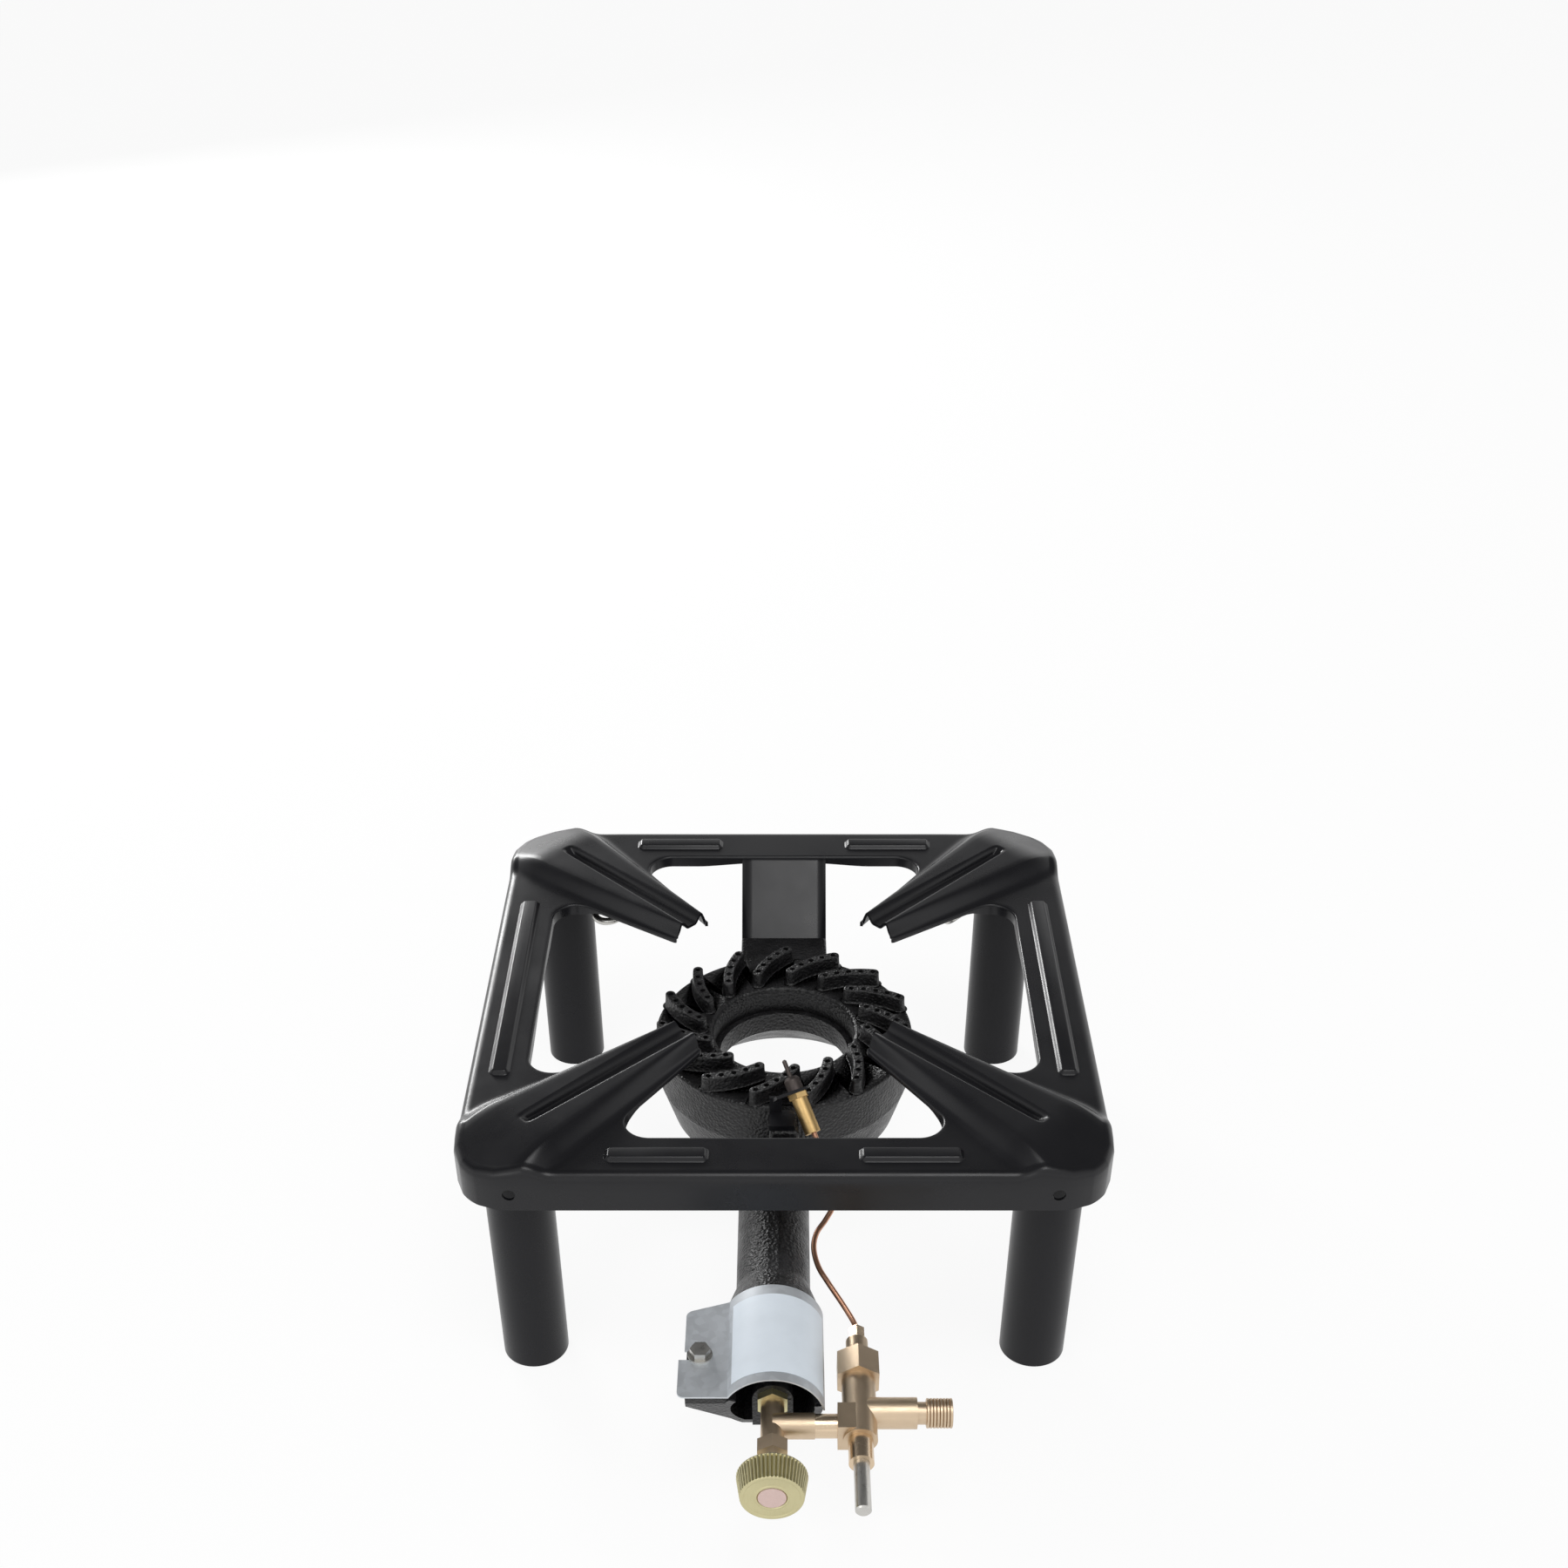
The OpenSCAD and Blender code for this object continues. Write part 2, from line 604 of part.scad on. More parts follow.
module tube_inside() {
  rod_y(0, tube_in_y, flare_from - 10, axis_z, tube_bore_r);
  translate([0, tube_in_y, axis_z]) sphere(r = tube_bore_r);
  intersection() {
    union() {
      cone_y(0, flare_from - 9.9, mouth_from, axis_z, tube_bore_r, mouth_bore);
      rod_y(0, mouth_from + 0.1, mouth_to - 1, axis_z, mouth_bore);
    }
    translate([-mouth_r, mouth_to - 2, axis_z - tube_bore_r - 0.5])
      cube([2 * mouth_r, flare_from - mouth_to, 2 * mouth_r]);
  }
}
// Open top of the mouth between its two cover angles
module mouth_gap() {
  r = mouth_r * 1.6;
  translate([0, mouth_from, axis_z]) rotate([90, 0, 0]) linear_extrude(mouth_from - mouth_to + 1)
    polygon([[0, 0], [r * sin(cover_right), r * cos(cover_right)], [r, r], [0, r], [-r, r],
      [-r * sin(cover_left), r * cos(cover_left)]]);
}
// Upright bar in the mouth that carries the jet
module jet_bridge() {
  difference() {
    union() {
      rod_y(0, bridge_from, bridge_to, axis_z, bridge_half);
      translate([-bridge_half, bridge_to, axis_z - tube_r + 1])
        cube([2 * bridge_half, bridge_from - bridge_to, tube_r - 1]);
    }
    rod_y(0, bridge_from + 1, bridge_to - 1, axis_z, spigot_r + 0.1);
  }
}
module burner_bowl() {
  color([0.2, 0.2, 0.21]) place() {
    difference() {
      union() {
        bowl_outside();
        bowl_bosses();
        translate([tube_x, 0, 0]) tube_outside();
      }
      difference() {
        union() {
          bowl_channel();
          translate([tube_x, 0, 0]) tube_inside();
        }
        bowl_bosses();
      }
      translate([tube_x, 0, 0]) {
        mouth_gap();
        ear_slot();
      }
      for (x = [-boss_x, boss_x])
        translate([x, 0, boss_low - eps]) cylinder(h = boss_split - boss_low + 2 * eps, r = m5_r + loose);
    }
    translate([tube_x, 0, 0]) jet_bridge();
  }
}
module ear_slot() {
  h = cast_ear_t + 2;
  z = cast_ear_top - cast_ear_t - 1;
  for (y = [clamp_y, clamp_y + shutter_travel])
    translate([clamp_x, y, z]) cylinder(h = h, r = m5_r + loose);
  translate([clamp_x - m5_r - loose, clamp_y, z]) cube([2 * (m5_r + loose), shutter_travel, h]);
}

module crown_screws() {
  color([0.6, 0.6, 0.6]) place() for (x = [-boss_x, boss_x]) translate([x, 0, boss_low]) {
    translate([0, 0, -screw_head_h]) cylinder(h = screw_head_h, r = screw_head_r);
    cylinder(h = boss_split - boss_low + boss_thread - eps, r = m5_r);
  }
}
module mount_bolt(y, x, len) {
  translate([x, y, foot_z]) {
    translate([0, 0, -4]) cylinder(h = 4, r = nut_af / 2 / cos(30), $fn = 6);
    cylinder(h = len, r = m6_r);
  }
}
module rear_mount_bolts() {
  color([0.6, 0.6, 0.6]) place() for (x = [-lug_bolt_x, lug_bolt_x])
    mount_bolt(lug_bolt_y, x, sheet_t + lug_thread - loose);
}
module front_mount_bolt() {
  color([0.6, 0.6, 0.6]) place() mount_bolt(-lug_bolt_y, 0, sheet_t + crown_t + 2);
}

// Shutter: arch over the mouth with a flat ear on the left, slotted for the clamp bolt
module air_shutter() {
  color([0.75, 0.77, 0.78]) at_tube() {
    difference() {
      rod_y(0, shutter_from, shutter_to, axis_z, shutter_out);
      rod_y(0, shutter_from + 1, shutter_to - 1, axis_z, shutter_in);
      translate([0, shutter_from + 1, axis_z]) rotate([90, 0, 0])
        linear_extrude(shutter_from - shutter_to + 2) polygon([[0, 0],
          [-60 * sin(cover_left), 60 * cos(cover_left)], [-60, -60], [60, -60],
          [60 * sin(cover_right), 60 * cos(cover_right)]]);
    }
    difference() {
      translate([0, 0, ear_low]) linear_extrude(shutter_t) polygon(concat([[ear_in + 0.6, shutter_to],
        [ear_in + 0.6, shutter_from]], rounded([ear_in - 3, shutter_from], [ear_left, shutter_from - 7],
        [ear_left, clamp_y], 4), [[ear_left, clamp_y], [ear_front_left, clamp_y]],
        rounded([ear_front_left, clamp_y], [ear_front_left, shutter_to], [ear_in, shutter_to], 3)));
      rod_y(0, shutter_from + 1, shutter_to - 1, axis_z, shutter_in);
      translate([clamp_x, clamp_y, ear_low - 1]) cylinder(h = shutter_t + 2, r = m5_r + 0.2);
      translate([ear_front_left - 1, clamp_y - m5_r - 0.2, ear_low - 1])
        cube([clamp_x - ear_front_left + 1, 2 * m5_r + 0.4, shutter_t + 2]);
    }
  }
}
// Blank label bent over the arch
module shutter_label() {
  color([0.75, 0.82, 0.88]) at_tube() difference() {
    rod_y(0, shutter_from - 6, shutter_to + 5, axis_z, shutter_out + label_gap + label_t);
    rod_y(0, shutter_from - 5, shutter_to + 4, axis_z, shutter_out + label_gap);
    translate([0, shutter_from - 5, axis_z]) rotate([90, 0, 0]) linear_extrude(shutter_from - shutter_to)
      polygon([[0, 0], [-60 * sin(50), 60 * cos(50)], [-60, -60], [60, -60], [60 * sin(72), 60 * cos(72)]]);
  }
}
module shutter_bolt() {
  color([0.7, 0.7, 0.68]) at_tube() translate([clamp_x, clamp_y, ear_top + 1]) {
    cylinder(h = 3.4, r = m5_af / 2 / cos(30), $fn = 6);
    translate([0, 0, -cast_ear_t - 8]) cylinder(h = cast_ear_t + 8, r = m5_r);
  }
}
module shutter_washer() {
  color([0.75, 0.75, 0.73]) at_tube() translate([clamp_x, clamp_y, ear_top]) difference() {
    cylinder(h = 1, r = 5.5);
    translate([0, 0, -1]) cylinder(h = 3, r = m5_r + fit);
  }
}
module shutter_nut() {
  z = cast_ear_top - cast_ear_t - 4.1;
  color([0.7, 0.7, 0.68]) at_tube() translate([clamp_x, clamp_y, z]) difference() {
    cylinder(h = 4, r = m5_af / 2 / cos(30), $fn = 6);
    translate([0, 0, -1]) cylinder(h = 6, r = m5_r + fit);
  }
}

module jet() {
  color([0.8, 0.62, 0.3]) at_tube() difference() {
    union() {
      hex_y(0, bridge_from + 6, bridge_from, axis_z, 12);
      cone_y(0, bridge_from + 11, bridge_from + 6, axis_z, 2.5, 4.5);
    }
    rod_y(0, bridge_from + 4, bridge_from - 1, axis_z, spigot_r + fit);
    rod_y(0, bridge_from + 12, bridge_from, axis_z, 0.6);
  }
}
module jet_lock_nut() {
  color([0.7, 0.7, 0.68]) at_tube() difference() {
    hex_y(0, bridge_to, lock_to, axis_z, 13);
    rod_y(0, bridge_to + 1, lock_to - 1, axis_z, spigot_r + fit);
  }
}
module valve_body() {
  color([0.78, 0.6, 0.3]) at_tube() difference() {
    union() {
      rod_y(0, bridge_from + 3.5, lock_to, axis_z, spigot_r);
      rod_y(0, lock_to, valve_to, axis_z, valve_r);
      rod_y(0, valve_to, valve_to - 3, axis_z, spigot_r - 0.1);
      rod_x(0, branch_x, branch_y, axis_z, branch_r);
    }
    rod_y(0, spindle_bore, valve_to - 4, axis_z, spindle_r + fit);
    rod_y(0, bridge_from + 4, spindle_bore - 1, axis_z, needle_r + 0.1);
    rod_x(0, branch_x + 1, branch_y, axis_z, 2.6);
    rod_x(branch_x - 5, branch_x + 1, branch_y, axis_z, nipple_bore);
  }
}
module gland_nut() {
  color([0.78, 0.6, 0.3]) at_tube() difference() {
    hex_y(0, valve_to, gland_to, axis_z, gland_af);
    rod_y(0, valve_to + 1, valve_to - 5, axis_z, spigot_r - 0.1 + fit);
    rod_y(0, valve_to, gland_to - 1, axis_z, spindle_r + 0.1);
  }
}
module gland_packing() {
  color([0.92, 0.92, 0.9]) at_tube() difference() {
    rod_y(0, valve_to - 3.1, valve_to - 5, axis_z, spigot_r - 0.1);
    rod_y(0, valve_to - 2, valve_to - 6, axis_z, spindle_r + fit);
  }
}
module valve_spindle() {
  color([0.75, 0.7, 0.6]) at_tube() turned_y(0, spindle_tip, axis_z,
    [[0, 0], [0.4, 0], [needle_r, spindle_lift + 2.5], [needle_r, 12.5], [spindle_r, 14],
      [spindle_r, spindle_tip - spindle_end], [0, spindle_tip - spindle_end]]);
}
module knob() {
  color([0.75, 0.65, 0.3]) at_tube() difference() {
    turned_y(0, knob_back + 6.5, axis_z, [[0, 0], [5.5, 0], [5.5, 6.5], [knob_r - 0.8, 6.5], [knob_r, 7.3],
      [knob_face_r, knob_back - knob_face + 5.7], [knob_face_r - 0.8, knob_back - knob_face + 6.5],
      [0, knob_back - knob_face + 6.5]]);
    rod_y(0, knob_back + 8, spindle_end - loose, axis_z, spindle_r + fit);
    rod_y(0, knob_face + 1.2, knob_face - 1, axis_z, disc_r + fit);
  }
}
module knob_disc() {
  color([0.75, 0.4, 0.35]) at_tube() rod_y(0, knob_face + 1.2, knob_face + 0.1, axis_z, disc_r);
}
module valve_nipple() {
  color([0.85, 0.72, 0.45]) at_tube() difference() {
    union() {
      rod_x(branch_x, nipple_x, branch_y, axis_z, branch_r - 0.4);
      rod_x(branch_x - 4.8, nipple_x + nipple_in, branch_y, axis_z, nipple_bore - fit);
    }
    rod_x(branch_x - 6, nipple_x + 6, branch_y, axis_z, 2.5);
  }
}

module safety_body() {
  x = valve_gap;
  color([0.78, 0.6, 0.3]) at_tube() difference() {
    union() {
      rod_y(x, safety_from, safety_to, axis_z, safety_r);
      translate([nipple_x, branch_y - 7.25, axis_z - 7.25]) cube([8, 14.5, 14.5]);
      rod_x(x, x + 25, inlet_y, axis_z, 7);
      rod_x(x, inlet_x, inlet_y, axis_z, 5);
      translate([thread_x, inlet_y, axis_z]) rotate([0, 90, 0]) rotate_extrude() polygon(thread_profile());
    }
    rod_y(x, safety_from + 1, seat_y, axis_z, chamber_r);
    rod_y(x, seat_y + 1, web_from, axis_z, low_chamber_r);
    rod_y(x, web_from + 1, web_to - 1, axis_z, rod_r + fit);
    rod_y(x, web_from, web_from - 2, axis_z, low_chamber_r);
    rod_y(x, web_to, safety_to - 1, axis_z, 5);
    rod_x(x, inlet_x + 1, inlet_y, axis_z, inlet_bore);
    rod_x(nipple_x - 1, x, branch_y, axis_z, 2.2);
    rod_x(nipple_x - 1, nipple_x + nipple_in + 0.2, branch_y, axis_z, nipple_bore);
  }
}
// Rings of the inlet thread
thread_rings = 8;
function thread_profile() =
  let (pitch = (inlet_x - thread_x) / thread_rings)
  concat([[0, 0], [inlet_r - 0.6, 0]],
    [for (i = [0 : thread_rings - 1]) for (p = [[inlet_r, 0.18], [inlet_r, 0.82], [inlet_r - 0.6, 1]])
      [p[0], (i + p[1]) * pitch]],
    [[0, inlet_x - thread_x]]);
module magnet_cap_nut() {
  x = valve_gap;
  color([0.75, 0.58, 0.3]) at_tube() difference() {
    union() {
      rod_y(x, neck_from, cap_from - eps, axis_z, neck_r);
      hex_y(x, cap_from, safety_from, axis_z, cap_af);
      rod_y(x, safety_from + eps, safety_from - 5, axis_z, chamber_r - fit);
    }
    rod_y(x, cap_from - 2, safety_from - 6, axis_z, cap_bore);
    rod_y(x, neck_from + 1, cap_from - 3, axis_z, 2);
    rod_y(x, neck_from + 1, neck_from - 5, axis_z, 3);
  }
}
module magnet_unit() {
  color([0.65, 0.65, 0.67]) at_tube() rod_y(valve_gap, cap_from - 2, magnet_to, axis_z, cap_bore - fit);
}
module valve_disc() {
  color([0.15, 0.15, 0.15]) at_tube() rod_y(valve_gap, seat_y + disc_t, seat_y, axis_z, chamber_r - 0.4);
}
module disc_spring() {
  color([0.7, 0.7, 0.7]) at_tube() difference() {
    rod_y(valve_gap, safety_from - 5, seat_y + disc_t, axis_z, chamber_r - 0.4);
    rod_y(valve_gap, safety_from - 4, seat_y + disc_t - 1, axis_z, chamber_r - 1.2);
  }
}
module thermocouple_nut() {
  color([0.8, 0.65, 0.35]) at_tube() difference() {
    union() {
      hex_y(valve_gap, nut_from, neck_from, axis_z, 7);
      rod_y(valve_gap, neck_from + eps, neck_from - 4.5, axis_z, 3 - fit);
    }
    rod_y(valve_gap, nut_from + 1, neck_from - 6, axis_z, lead_r + 0.1);
  }
}
module push_pin() {
  color([0.8, 0.8, 0.8]) at_tube() turned_y(valve_gap, seat_y - 0.4, axis_z,
    [[0, 0], [rod_r, 0], [rod_r, 4.3], [rod_r + 1, 4.3], [rod_r + 1, 5.3], [rod_r, 5.3],
      [rod_r, seat_y - 0.4 - pin_in], [pin_r, seat_y - 0.4 - pin_in], [pin_r, seat_y - 1 - pin_to],
      [pin_r - 0.6, seat_y - 0.4 - pin_to], [0, seat_y - 0.4 - pin_to]]);
}
module pin_sleeve() {
  color([0.9, 0.8, 0.5]) at_tube() difference() {
    union() {
      rod_y(valve_gap, safety_to, sleeve_to, axis_z, 5.5);
      rod_y(valve_gap, web_to - 0.2, safety_to, axis_z, 5 - fit);
    }
    rod_y(valve_gap, web_to, sleeve_to - 1, axis_z, pin_r + fit);
  }
}
module pin_spring() {
  color([0.7, 0.7, 0.7]) at_tube() difference() {
    rod_y(valve_gap, web_to, pin_in, axis_z, pin_r - 0.3);
    rod_y(valve_gap, web_to + 1, pin_in - 1, axis_z, rod_r + 0.4);
  }
}
module pin_seal() {
  color([0.1, 0.1, 0.1]) at_tube() difference() {
    rod_y(valve_gap, web_from - 0.6, web_from - 2, axis_z, low_chamber_r - fit);
    rod_y(valve_gap, web_from + 1, web_from - 3, axis_z, rod_r + 0.1);
  }
}

// Frame of the probe: its axis is local Z, the tip upwards, zero on the bracket's tab
module at_probe() {
  place() translate(seat_at) rotate([0, 0, probe_turn]) rotate([-probe_tilt, 0, 0]) children();
}
function probe_point(z) = seat_at + z * [-sin(probe_tilt) * sin(probe_turn),
  sin(probe_tilt) * cos(probe_turn), cos(probe_tilt)];
module thermocouple_probe() {
  color([0.3, 0.25, 0.22]) at_probe() rotate_extrude() polygon([[0, -5], [probe_r, -5], [probe_r, 0], [4, 0],
    [4, 5.5], [3, 7], [1.1, 7], [1.1, 15.4], [0.5, 16], [0, 16]]);
}
module thermocouple_sleeve() {
  color([0.82, 0.66, 0.36]) at_probe() difference() {
    union() {
      translate([0, 0, -tab_t - collar_h]) cylinder(h = collar_h, r = 9 / 2 / cos(30), $fn = 6);
      translate([0, 0, -sleeve_len]) cylinder(h = sleeve_len - tab_t - collar_h + eps, r = 3.9);
    }
    translate([0, 0, -8]) cylinder(h = 8, r = probe_r + fit);
    translate([0, 0, -sleeve_len - 1]) cylinder(h = sleeve_len, r = lead_r + 0.15);
  }
}
module thermocouple_bracket() {
  color([0.12, 0.12, 0.12]) {
    at_probe() difference() {
      translate([-13, -5, -tab_t]) cube([16.8, 10, tab_t]);
      translate([0, 0, -tab_t - 1]) cylinder(h = tab_t + 2, r = probe_r + 0.1);
    }
    place() translate([-7, -lug_bolt_y + 3.5, plate_z]) cube([6, 1.8, 11.5]);
    place() difference() {
      translate([-7, -lug_out + 1.5, plate_z]) cube([12, lug_out - lug_bolt_y + 3.8, base_t]);
      translate([0, -lug_bolt_y, plate_z - 1]) cylinder(h = 3.2, r = m6_r + fit);
    }
  }
}

// Lead: round tube swept along a smooth curve through the lead points
function curve_at(i, t) =
  let (p = lead_points, n = len(p) - 1, a = p[max(0, i - 1)], b = p[i], c = p[i + 1], d = p[min(n, i + 2)])
  0.5 * (2 * b + (c - a) * t + (2 * a - 5 * b + 4 * c - d) * t * t + (3 * b - a - 3 * c + d) * t * t * t);
lead_last = len(lead_points) - 1;
lead_curve = concat([for (i = [0 : lead_last - 1], k = [0 : lead_steps - 1]) curve_at(i, k / lead_steps)],
  [lead_points[lead_last]]);
function lead_way(i) = unit(lead_curve[min(len(lead_curve) - 1, i + 1)] - lead_curve[max(0, i - 1)]);
function lead_ring(i) =
  let (t = lead_way(i), u = unit(cross(t, [0, 0, 1])), v = cross(u, t))
  [for (k = [0 : lead_sides - 1]) lead_curve[i]
    + lead_r * (cos(360 * k / lead_sides) * u + sin(360 * k / lead_sides) * v)];
module copper_lead() {
  n = lead_sides;
  m = len(lead_curve);
  faces = concat(
    [for (i = [0 : m - 2], k = [0 : n - 1]) [i * n + k, i * n + (k + 1) % n, (i + 1) * n + (k + 1) % n]],
    [for (i = [0 : m - 2], k = [0 : n - 1]) [i * n + k, (i + 1) * n + (k + 1) % n, (i + 1) * n + k]],
    [[for (k = [n - 1 : -1 : 0]) k], [for (k = [0 : n - 1]) (m - 1) * n + k]]);
  color([0.72, 0.42, 0.28]) place() polyhedron([for (i = [0 : m - 1]) for (p = lead_ring(i)) p], faces);
}

stool_frame();
leg_front_left();
leg_front_right();
leg_rear_left();
leg_rear_right();
leg_stub_front_left();
leg_stub_front_right();
leg_stub_rear_left();
leg_stub_rear_right();
clamp_nuts();
eye_bolt_front_left();
eye_bolt_front_right();
eye_bolt_rear_left();
eye_bolt_rear_right();
burner_bowl();
burner_crown();
crown_screws();
rear_mount_bolts();
front_mount_bolt();
air_shutter();
shutter_label();
shutter_bolt();
shutter_washer();
shutter_nut();
jet();
jet_lock_nut();
valve_body();
gland_nut();
gland_packing();
valve_spindle();
knob();
knob_disc();
valve_nipple();
safety_body();
magnet_cap_nut();
magnet_unit();
valve_disc();
disc_spring();
thermocouple_nut();
push_pin();
pin_sleeve();
pin_spring();
pin_seal();
thermocouple_probe();
thermocouple_sleeve();
thermocouple_bracket();
copper_lead();
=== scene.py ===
"""Looks of a low wok burner: enamelled pressed frame, cast swirl burner, gas valves and their stage.

Shapes are worked out in millimetres, with the burner's axis as the middle, and put into the
shared frame in metres by put_mm.
"""

import functools
import itertools

import bpy
import numpy as np
from bpy.props import FloatProperty, FloatVectorProperty, IntProperty, PointerProperty
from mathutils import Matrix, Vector


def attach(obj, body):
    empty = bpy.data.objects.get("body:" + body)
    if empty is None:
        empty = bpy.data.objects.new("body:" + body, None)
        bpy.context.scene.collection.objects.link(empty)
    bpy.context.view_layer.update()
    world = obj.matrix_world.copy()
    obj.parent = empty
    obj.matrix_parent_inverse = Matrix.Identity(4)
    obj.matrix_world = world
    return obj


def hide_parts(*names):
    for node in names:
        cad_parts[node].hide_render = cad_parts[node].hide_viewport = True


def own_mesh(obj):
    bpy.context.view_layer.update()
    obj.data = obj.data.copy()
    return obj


bl_info = {
    "name": "Wok burner looks",
    "version": (1, 0, 0),
    "blender": (4, 5, 0),
    "location": "View3D > Sidebar > Wok burner",
    "description": "Dresses the packed wok burner with its visible surfaces and finishes",
    "category": "Object",
}

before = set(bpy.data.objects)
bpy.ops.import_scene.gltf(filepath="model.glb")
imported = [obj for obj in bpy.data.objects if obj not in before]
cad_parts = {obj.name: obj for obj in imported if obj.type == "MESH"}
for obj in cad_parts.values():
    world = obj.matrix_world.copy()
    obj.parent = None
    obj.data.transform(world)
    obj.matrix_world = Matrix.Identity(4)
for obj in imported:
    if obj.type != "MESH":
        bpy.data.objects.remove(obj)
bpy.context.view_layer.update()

MM = 0.001
# Burner's axis behind the shared frame's middle
SHIFT_Y = 66.0
# Axes of the control and safety valves: places across, and height
TUBE_X, SAFETY_X, AXIS_Z = -5.0, 33.0, 62.0
# Body that holds all that doesn't move
STOVE = "stove"
# Hanger strips and lugs: place, width, side
HANGERS = (("rear", 46.0, 1.0), ("front", 14.0, -1.0))
# Front skirt's holes: distance from the middle, height, radius
SKIRT_HOLE = (123.3, 121.0, 3.0)
# Distance in metres under which a fine shell's points are one
FINE_GAP = 0.000001


def mm(label, text, value):
    """One length in millimetres for a property group."""
    return FloatProperty(name=label, description=text, default=value, min=0.0, unit="NONE")


def colour(label, text, value):
    """One linear colour for a property group."""
    return FloatVectorProperty(
        name=label, description=text, default=value, size=3, min=0.0, max=1.0, subtype="COLOR"
    )


class FrameSizes(bpy.types.PropertyGroup):
    """Sizes of the pressed frame, in millimetres."""

    half: mm("Half width", "Half the frame's side", 150.0)
    rail_top: mm("Rail height", "Height of the rails' top face", 132.0)
    skirt_low: mm("Skirt edge", "Height of the skirt's lower edge", 112.0)
    corner: mm("Corner radius", "Radius of the outer corners", 25.0)
    lip_at: mm("Lip distance", "Rails' inner edge from the middle", 122.0)
    lip_low: mm("Lip drop", "Depth of the lip under the rails", 6.0)
    edge_bend: mm("Outer bend", "Bend between rail and skirt", 4.5)
    lip_bend: mm("Inner bend", "Bend between rail and lip", 1.2)
    window: mm("Window radius", "Radius of the opening's corners", 12.0)
    tip: mm("Arm tip", "Arm's tip from the middle", 68.0)
    rise: mm("Arm rise", "Arm's crests above the rails", 8.0)
    groove: mm("Groove depth", "Depth of the groove along an arm", 4.0)
    crest: mm("Crest distance", "Half the distance of the crests at the tip", 7.75)
    flank: mm("Flank width", "Width of an arm's flank", 4.2)
    bead: mm("Bead height", "Height of the raised beads", 2.0)
    sheet: mm("Sheet", "Thickness of the sheet", 1.5)


class BurnerSizes(bpy.types.PropertyGroup):
    """Sizes of the cast crown, in millimetres."""

    plate: mm("Plate height", "Height of the crown plate's top face", 104.0)
    outer: mm("Crown radius", "Outer radius of the crown", 65.6)
    hole: mm("Hole radius", "Radius of the crown's middle hole", 36.0)
    ridges: IntProperty(name="Ridges", description="Number of swirl ridges", default=15, min=3)
    ridge_h: mm("Ridge height", "Height of a ridge above the plate", 7.5)
    ridge_w: mm("Ridge width", "Width of a ridge", 5.8)
    ridge_arc: mm("Ridge radius", "Arc that a ridge follows", 50.0)
    ports: IntProperty(name="Ports", description="Number of gas ports in a ridge", default=5, min=1)
    port_d: mm("Port diameter", "Diameter of a gas port", 2.8)


class FittingSizes(bpy.types.PropertyGroup):
    """Sizes of the knob and the thermocouple lead, in millimetres."""

    knob: mm("Knob radius", "Radius at the knob's back", 15.5)
    knurls: IntProperty(name="Knurls", description="Number of ribs round the knob", default=52, min=8)
    lead: mm("Lead radius", "Radius of the copper lead", 1.3)


class Finishes(bpy.types.PropertyGroup):
    """Colours of the finishes, linear."""

    enamel: colour("Enamel", "Black enamel of the frame and legs", (0.007, 0.007, 0.0085))
    cast: colour("Casting", "Painted sand casting", (0.008, 0.0078, 0.0085))
    zinc: colour("Zinc", "Zinc plated steel", (0.60, 0.59, 0.56))
    galvanised: colour("Galvanised", "Galvanised sheet", (0.66, 0.69, 0.72))
    brass: colour("Brass", "Machined brass", (0.66, 0.52, 0.37))
    chromate: colour("Chromate", "Yellow chromate on zinc", (0.62, 0.57, 0.34))
    copper: colour("Copper", "Drawn copper", (0.70, 0.38, 0.25))
    label: colour("Label", "Blank label", (0.76, 0.83, 0.90))


def put_mm(points):
    """Points in millimetres about the burner's axis become metres in the shared frame."""
    placed = np.asarray(points, float).reshape(-1, 3) * MM
    placed[:, 1] += SHIFT_Y * MM
    return placed


def grid_quads(rows, cols, wrap=False, start=0):
    """Quads of a grid whose vertex (i, j) has number i * cols + j; wrap joins last to first column."""
    i = np.arange(rows - 1)[:, None]
    j = np.arange(cols if wrap else cols - 1)[None, :]
    i2, j2 = i + 1, (j + 1) % cols
    quads = np.stack([i * cols + j, i * cols + j2, i2 * cols + j2, i2 * cols + j], axis=-1)
    return quads.reshape(-1, 4) + start


def shells(grids, wrap=True, first=True, last=True, start=0):
    """Points, quads and end faces of grids in a row; first and last say which ends are closed."""
    points, quads, ends = [], [], []
    for g in grids:
        rows, cols = g.shape[:2]
        points.append(g.reshape(-1, 3))
        quads.append(grid_quads(rows, cols, wrap, start))
        stop = start + rows * cols
        if first:
            ends.append(list(range(start + cols - 1, start - 1, -1)))
        if last:
            ends.append(list(range(stop - cols, stop)))
        start = stop
    return np.concatenate(points), np.concatenate(quads), ends


def new_piece(name, points, quads, ends=()):
    """Mesh object of points in millimetres and a quad array, with further faces of any length."""
    mesh = bpy.data.meshes.new(name)
    mesh.from_pydata(put_mm(points).tolist(), [], quads.tolist() + list(ends))
    mesh.validate()
    mesh.update()
    piece = bpy.data.objects.new(name, mesh)
    bpy.context.scene.collection.objects.link(piece)
    return piece


def weld(piece, gap, outward=False):
    """Merges points closer than a gap; a closed shell may also have its faces turned outwards."""
    bpy.ops.object.select_all(action="DESELECT")
    bpy.context.view_layer.objects.active = piece
    piece.select_set(True)
    bpy.ops.object.mode_set(mode="EDIT")
    bpy.ops.mesh.select_all(action="SELECT")
    bpy.ops.mesh.remove_doubles(threshold=gap)
    if outward:
        bpy.ops.mesh.normals_make_consistent(inside=False)
    bpy.ops.object.mode_set(mode="OBJECT")
    return piece


